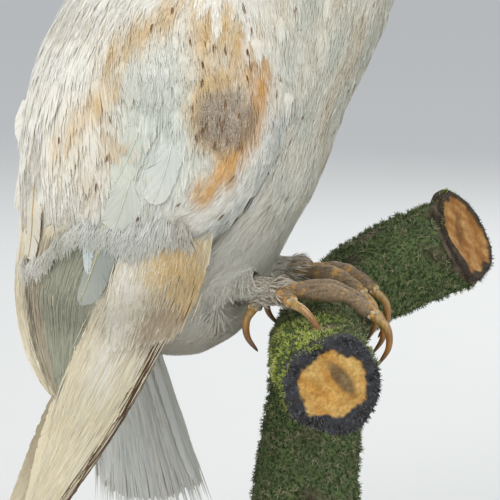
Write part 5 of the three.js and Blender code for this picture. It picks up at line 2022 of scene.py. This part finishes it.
def sprigMesh(name, blades, reach, wide, seed):
    # a tuft of curved blades about the origin, in metres
    rng = np.random.default_rng(seed)
    points, faces = [], []
    for k in range(blades):
        turn = 2 * math.pi * (k + 0.6 * rng.random()) / blades
        lean = 0.35 + 0.75 * rng.random()
        tall = reach * (0.65 + 0.5 * rng.random())
        out = np.array([math.cos(turn), math.sin(turn), 0])
        aside = np.array([-math.sin(turn), math.cos(turn), 0])
        start = len(points)
        for j, s in enumerate((0, 0.35, 0.7)):
            place = out * tall * math.sin(lean) * s**1.5 + np.array([0, 0, tall * math.cos(lean) * s])
            half = wide * (1 - 0.5 * s) / 2
            points += [place - aside * half, place + aside * half]
        points.append(out * tall * math.sin(lean) + np.array([0, 0, tall * math.cos(lean) * 0.97]))
        for j in range(2):
            a = start + 2 * j
            faces += [(a, a + 1, a + 3, a + 2)]
        faces.append((start + 4, start + 5, start + 6))
    mesh = bpy.data.meshes.new(name)
    mesh.from_pydata([(p * mm).tolist() for p in points], [], faces)
    return mesh


def scatterGroup():
    # small things scattered over a surface, turned to its normal, real geometry at the end
    tree = bpy.data.node_groups.new("scatterOver", "GeometryNodeTree")
    face = tree.interface
    face.new_socket("Surface", in_out="INPUT", socket_type="NodeSocketGeometry")
    for label, kind, value in (
        ("Sprig", "NodeSocketObject", None), ("Per square metre", "NodeSocketFloat", 1000.0),
        ("Where", "NodeSocketString", "moss"), ("Smallest", "NodeSocketFloat", 0.6),
        ("Largest", "NodeSocketFloat", 1.3), ("Lean", "NodeSocketVector", (0.0, 0.0, 0.0)),
        ("Unruly", "NodeSocketFloat", 0.4), ("Finish", "NodeSocketMaterial", None),
        ("Seed", "NodeSocketInt", 1),
    ):
        socket = face.new_socket(label, in_out="INPUT", socket_type=kind)
        if value is not None:
            socket.default_value = value
    face.new_socket("Growth", in_out="OUTPUT", socket_type="NodeSocketGeometry")
    given = tree.nodes.new("NodeGroupInput")
    taken = tree.nodes.new("NodeGroupOutput")
    unruly, seed = given.outputs["Unruly"], given.outputs["Seed"]
    share = put(tree, "GeometryNodeInputNamedAttribute", {"Name": given.outputs["Where"]}, data_type="FLOAT")
    amount = math2(tree, "MULTIPLY", share.outputs["Attribute"], given.outputs["Per square metre"])
    spread = put(
        tree, "GeometryNodeDistributePointsOnFaces",
        {"Mesh": given.outputs["Surface"], "Density": amount, "Seed": seed}, distribute_method="RANDOM",
    )
    sprig = put(tree, "GeometryNodeObjectInfo", {"Object": given.outputs["Sprig"]})
    minus = math2(tree, "MULTIPLY", unruly, -1.0)
    low = put(tree, "ShaderNodeCombineXYZ", {0: minus, 1: minus, 2: -3.14}).outputs[0]
    high = put(tree, "ShaderNodeCombineXYZ", {0: unruly, 1: unruly, 2: 3.14}).outputs[0]
    values = {"Min": low, "Max": high, "Seed": seed}
    turn = put(tree, "FunctionNodeRandomValue", values, data_type="FLOAT_VECTOR")
    turned = put(tree, "FunctionNodeEulerToRotation", {0: turn.outputs[0]})
    leaning = put(tree, "FunctionNodeEulerToRotation", {0: given.outputs["Lean"]})
    first = put(
        tree, "FunctionNodeRotateRotation",
        {"Rotation": spread.outputs["Rotation"], "Rotate By": turned.outputs[0]},
        rotation_space="LOCAL",
    )
    second = put(
        tree, "FunctionNodeRotateRotation", {"Rotation": first.outputs[0], "Rotate By": leaning.outputs[0]},
        rotation_space="GLOBAL",
    )
    size = tree.nodes.new("FunctionNodeRandomValue")
    size.data_type = "FLOAT"
    tree.links.new(given.outputs["Smallest"], size.inputs[2])
    tree.links.new(given.outputs["Largest"], size.inputs[3])
    placed = put(
        tree, "GeometryNodeInstanceOnPoints",
        {"Points": spread.outputs["Points"], "Instance": sprig.outputs["Geometry"],
         "Rotation": second.outputs[0], "Scale": size.outputs[1]},
    )
    shadeRoll = tree.nodes.new("FunctionNodeRandomValue")
    shadeRoll.data_type = "FLOAT"
    values = {"Geometry": placed.outputs[0], "Name": "tuft", "Value": shadeRoll.outputs[1]}
    stored = put(tree, "GeometryNodeStoreNamedAttribute", values, data_type="FLOAT", domain="INSTANCE")
    real = put(tree, "GeometryNodeRealizeInstances", {"Geometry": stored.outputs[0]})
    values = {"Geometry": real.outputs[0], "Material": given.outputs["Finish"]}
    tree.links.new(put(tree, "GeometryNodeSetMaterial", values).outputs[0], taken.inputs["Growth"])
    return tree


scatter = scatterGroup()


def scatterOn(name, surfaceMesh, sprig, material, slotName, **inputs):
    carrier = bpy.data.objects.new("carrier", surfaceMesh)
    bpy.context.scene.collection.objects.link(carrier)
    sprigObject = bpy.data.objects.new("sprig", sprig)
    bpy.context.scene.collection.objects.link(sprigObject)
    modifier = carrier.modifiers.new("Scatter", "NODES")
    modifier.node_group = scatter
    values = dict(inputs, Sprig=sprigObject, Finish=material)
    for item in scatter.interface.items_tree:
        if item.in_out == "INPUT" and item.name in values:
            modifier[item.identifier] = values[item.name]
    graph = bpy.context.evaluated_depsgraph_get()
    made = bpy.data.meshes.new_from_object(carrier.evaluated_get(graph))
    bpy.data.objects.remove(carrier)
    bpy.data.objects.remove(sprigObject)
    made.name = name
    addPiece(made, material, slotName)
    print("stage:", name, len(made.polygons), "faces")


def mossMaterial():
    material, tree, shader = newMaterial("freshMoss", 0.85, 0.15)
    tuft = attribute(tree, "tuft").outputs["Fac"]
    axes = axesOf(tree, objectPlace(tree))
    patchy, broad = grain(tree, 60.0)["Grain"], grain(tree, 26.0)["Grain"]
    dark = mixed(tree, tuft, colour("465339"), colour("76845e"))
    dark = mixed(tree, times(tree, patchy, 0.55), dark, colour("667256"))
    dark = mixed(tree, times(tree, broad, 0.5), dark, colour("7b866b"))
    bright = mixed(tree, tuft, colour("7c8a3c"), colour("c3cf6a"))
    lit = times(tree, ramp(tree, axes[1], 0.0, -0.045), ramp(tree, axes[0], 0.062, 0.042))
    base = mixed(tree, math2(tree, "ADD", lit, times(tree, patchy, 0.15)), dark, bright)
    dry = times(tree, ramp(tree, tuft, 0.8, 0.9), 0.6)
    finish(tree, shader, mixed(tree, dry, base, colour("a59a7c")))
    return material


mossSpec = {"Per square metre": 430000.0, "Smallest": 0.5, "Largest": 1.3, "Unruly": 0.7, "Seed": 8}
freshMoss = mossMaterial()
for name, where in (("moss_limb", "mossHigh"), ("moss_trunk", "mossLow")):
    sprig = sprigMesh("mossSprig", 6, 2.3, 0.42, 5)
    scatterOn(name, barkMesh, sprig, freshMoss, "mossy_bark", Where=where, **mossSpec)

# base
baseSpec = {"radius": 106, "thick": 18, "edge": 5, "round": 1.6}


def baseShape():
    radius, thick, edge, corner = (baseSpec[key] for key in ("radius", "thick", "edge", "round"))
    quarter = np.linspace(0, 1.57, 6)
    profile = [(0.5, 0), (radius - 3, 0)]
    profile += [(radius - 1.6 + 1.6 * math.sin(a), 1.6 - 1.6 * math.cos(a)) for a in quarter]
    profile += [
        (radius - 0.4 + 0.4 * math.cos(a), thick * 0.40 + 0.9 * math.sin(a)) for a in np.linspace(0, 1.57, 4)
    ]
    profile += [
        (radius - 0.6 - (edge - 0.6) * c, thick * 0.46 + thick * 0.24 * (1 - math.cos(c * 1.57)))
        for c in np.linspace(0, 1, 9)
    ]
    profile += [
        (radius - edge - 2 + corner * math.cos(a) * 0.9 + 0.5, thick - corner + corner * math.sin(a))
        for a in quarter
    ]
    profile += [(radius * share, thick) for share in (0.85, 0.6, 0.3, 0.01)]
    angle = 2 * math.pi * np.arange(128) / 128
    return closeRings([
        np.column_stack([r * np.cos(angle), r * np.sin(angle), np.full(128, z)]) - birdAt for r, z in profile
    ])


def woodMaterial():
    sockets = {"Coat Weight": 0.35, "Coat Roughness": 0.2}
    material, tree, shader = newMaterial("varnishedWood", 0.42, 0.4, **sockets)
    long = grain(tree, 60.0, (1.0, 14.0, 6.0), 0.6)
    pores = grain(tree, 420.0, (0.25, 5.0, 3.0), 0.6)
    base = mixed(tree, long["Grain"], colour("4a2e1b"), colour("7a5133"))
    base = mixed(tree, times(tree, pores["Grain"], 0.45), base, colour("2f1c10"))
    finish(tree, shader, base, pores["Relief"], 0.25, 0.0004)
    return material


addShape("turned_base", baseShape(), woodMaterial(), "turned_wood", ["stand_base"])
print("stage: branch and base")

# stage: each lamp's place, target, size, power and shade
stageSpec = {
    "floor": 14.0, "floorShade": (0.7, 0.7, 0.68, 1), "sky": (0.86, 0.9, 0.95, 1), "skyPower": 0.75,
    "lamps": {
        "key": ((-0.5, -0.9, 1.3), (0, 0, 0.2), 1.0, 12.5, (1, 0.985, 0.955)),
        "fill": ((1.1, -0.8, 0.7), (0, 0, 0.2), 0.9, 5, (0.95, 0.98, 1)),
        "rim": ((0.2, 1.2, 1.0), (0, 0, 0.25), 0.8, 7, (1, 1, 1)),
    },
    "sensor": 36, "lens": 154.3,
    "camera": (0.16535, -0.87538, 0.35535), "target": (0.01144, -0.00252, 0.19907),
}


def turnedTo(name, data, place, target):
    # a lamp or a camera at its place, turned to its target
    made = bpy.data.objects.new(name, data)
    made.location = place
    made.rotation_mode = "QUATERNION"
    made.rotation_quaternion = (Vector(target) - Vector(place)).to_track_quat("-Z", "Y")
    bpy.context.scene.collection.objects.link(made)
    return made


def stageAndCamera():
    floorMesh = bpy.data.meshes.new("floor")
    size = stageSpec["floor"]
    corners = [(x * size, y * size, 0) for x, y in ((-1, -1), (1, -1), (1, 1), (-1, 1))]
    floorMesh.from_pydata(corners, [], [(0, 1, 2, 3)])
    floor = bpy.data.objects.new("floor", floorMesh)
    bpy.context.scene.collection.objects.link(floor)
    material, _, shader = newMaterial("paleFloor", 0.9, 0.1)
    shader.inputs["Base Color"].default_value = stageSpec["floorShade"]
    floorMesh.materials.append(material)
    world = bpy.data.worlds.new("studio")
    bpy.context.scene.world = world
    world.use_nodes = True
    world.node_tree.nodes["Background"].inputs[0].default_value = stageSpec["sky"]
    world.node_tree.nodes["Background"].inputs[1].default_value = stageSpec["skyPower"]
    bpy.context.scene.view_settings.view_transform = "Standard"
    for name, (place, target, size, power, shade) in stageSpec["lamps"].items():
        light = bpy.data.lights.new(name, "AREA")
        light.size = size
        light.energy = power
        light.color = shade
        turnedTo(name, light, place, target)
    camera = bpy.data.cameras.new("camera")
    camera.sensor_width = stageSpec["sensor"]
    camera.lens = stageSpec["lens"]
    bpy.context.scene.camera = turnedTo("camera", camera, stageSpec["camera"], stageSpec["target"])


stageAndCamera()
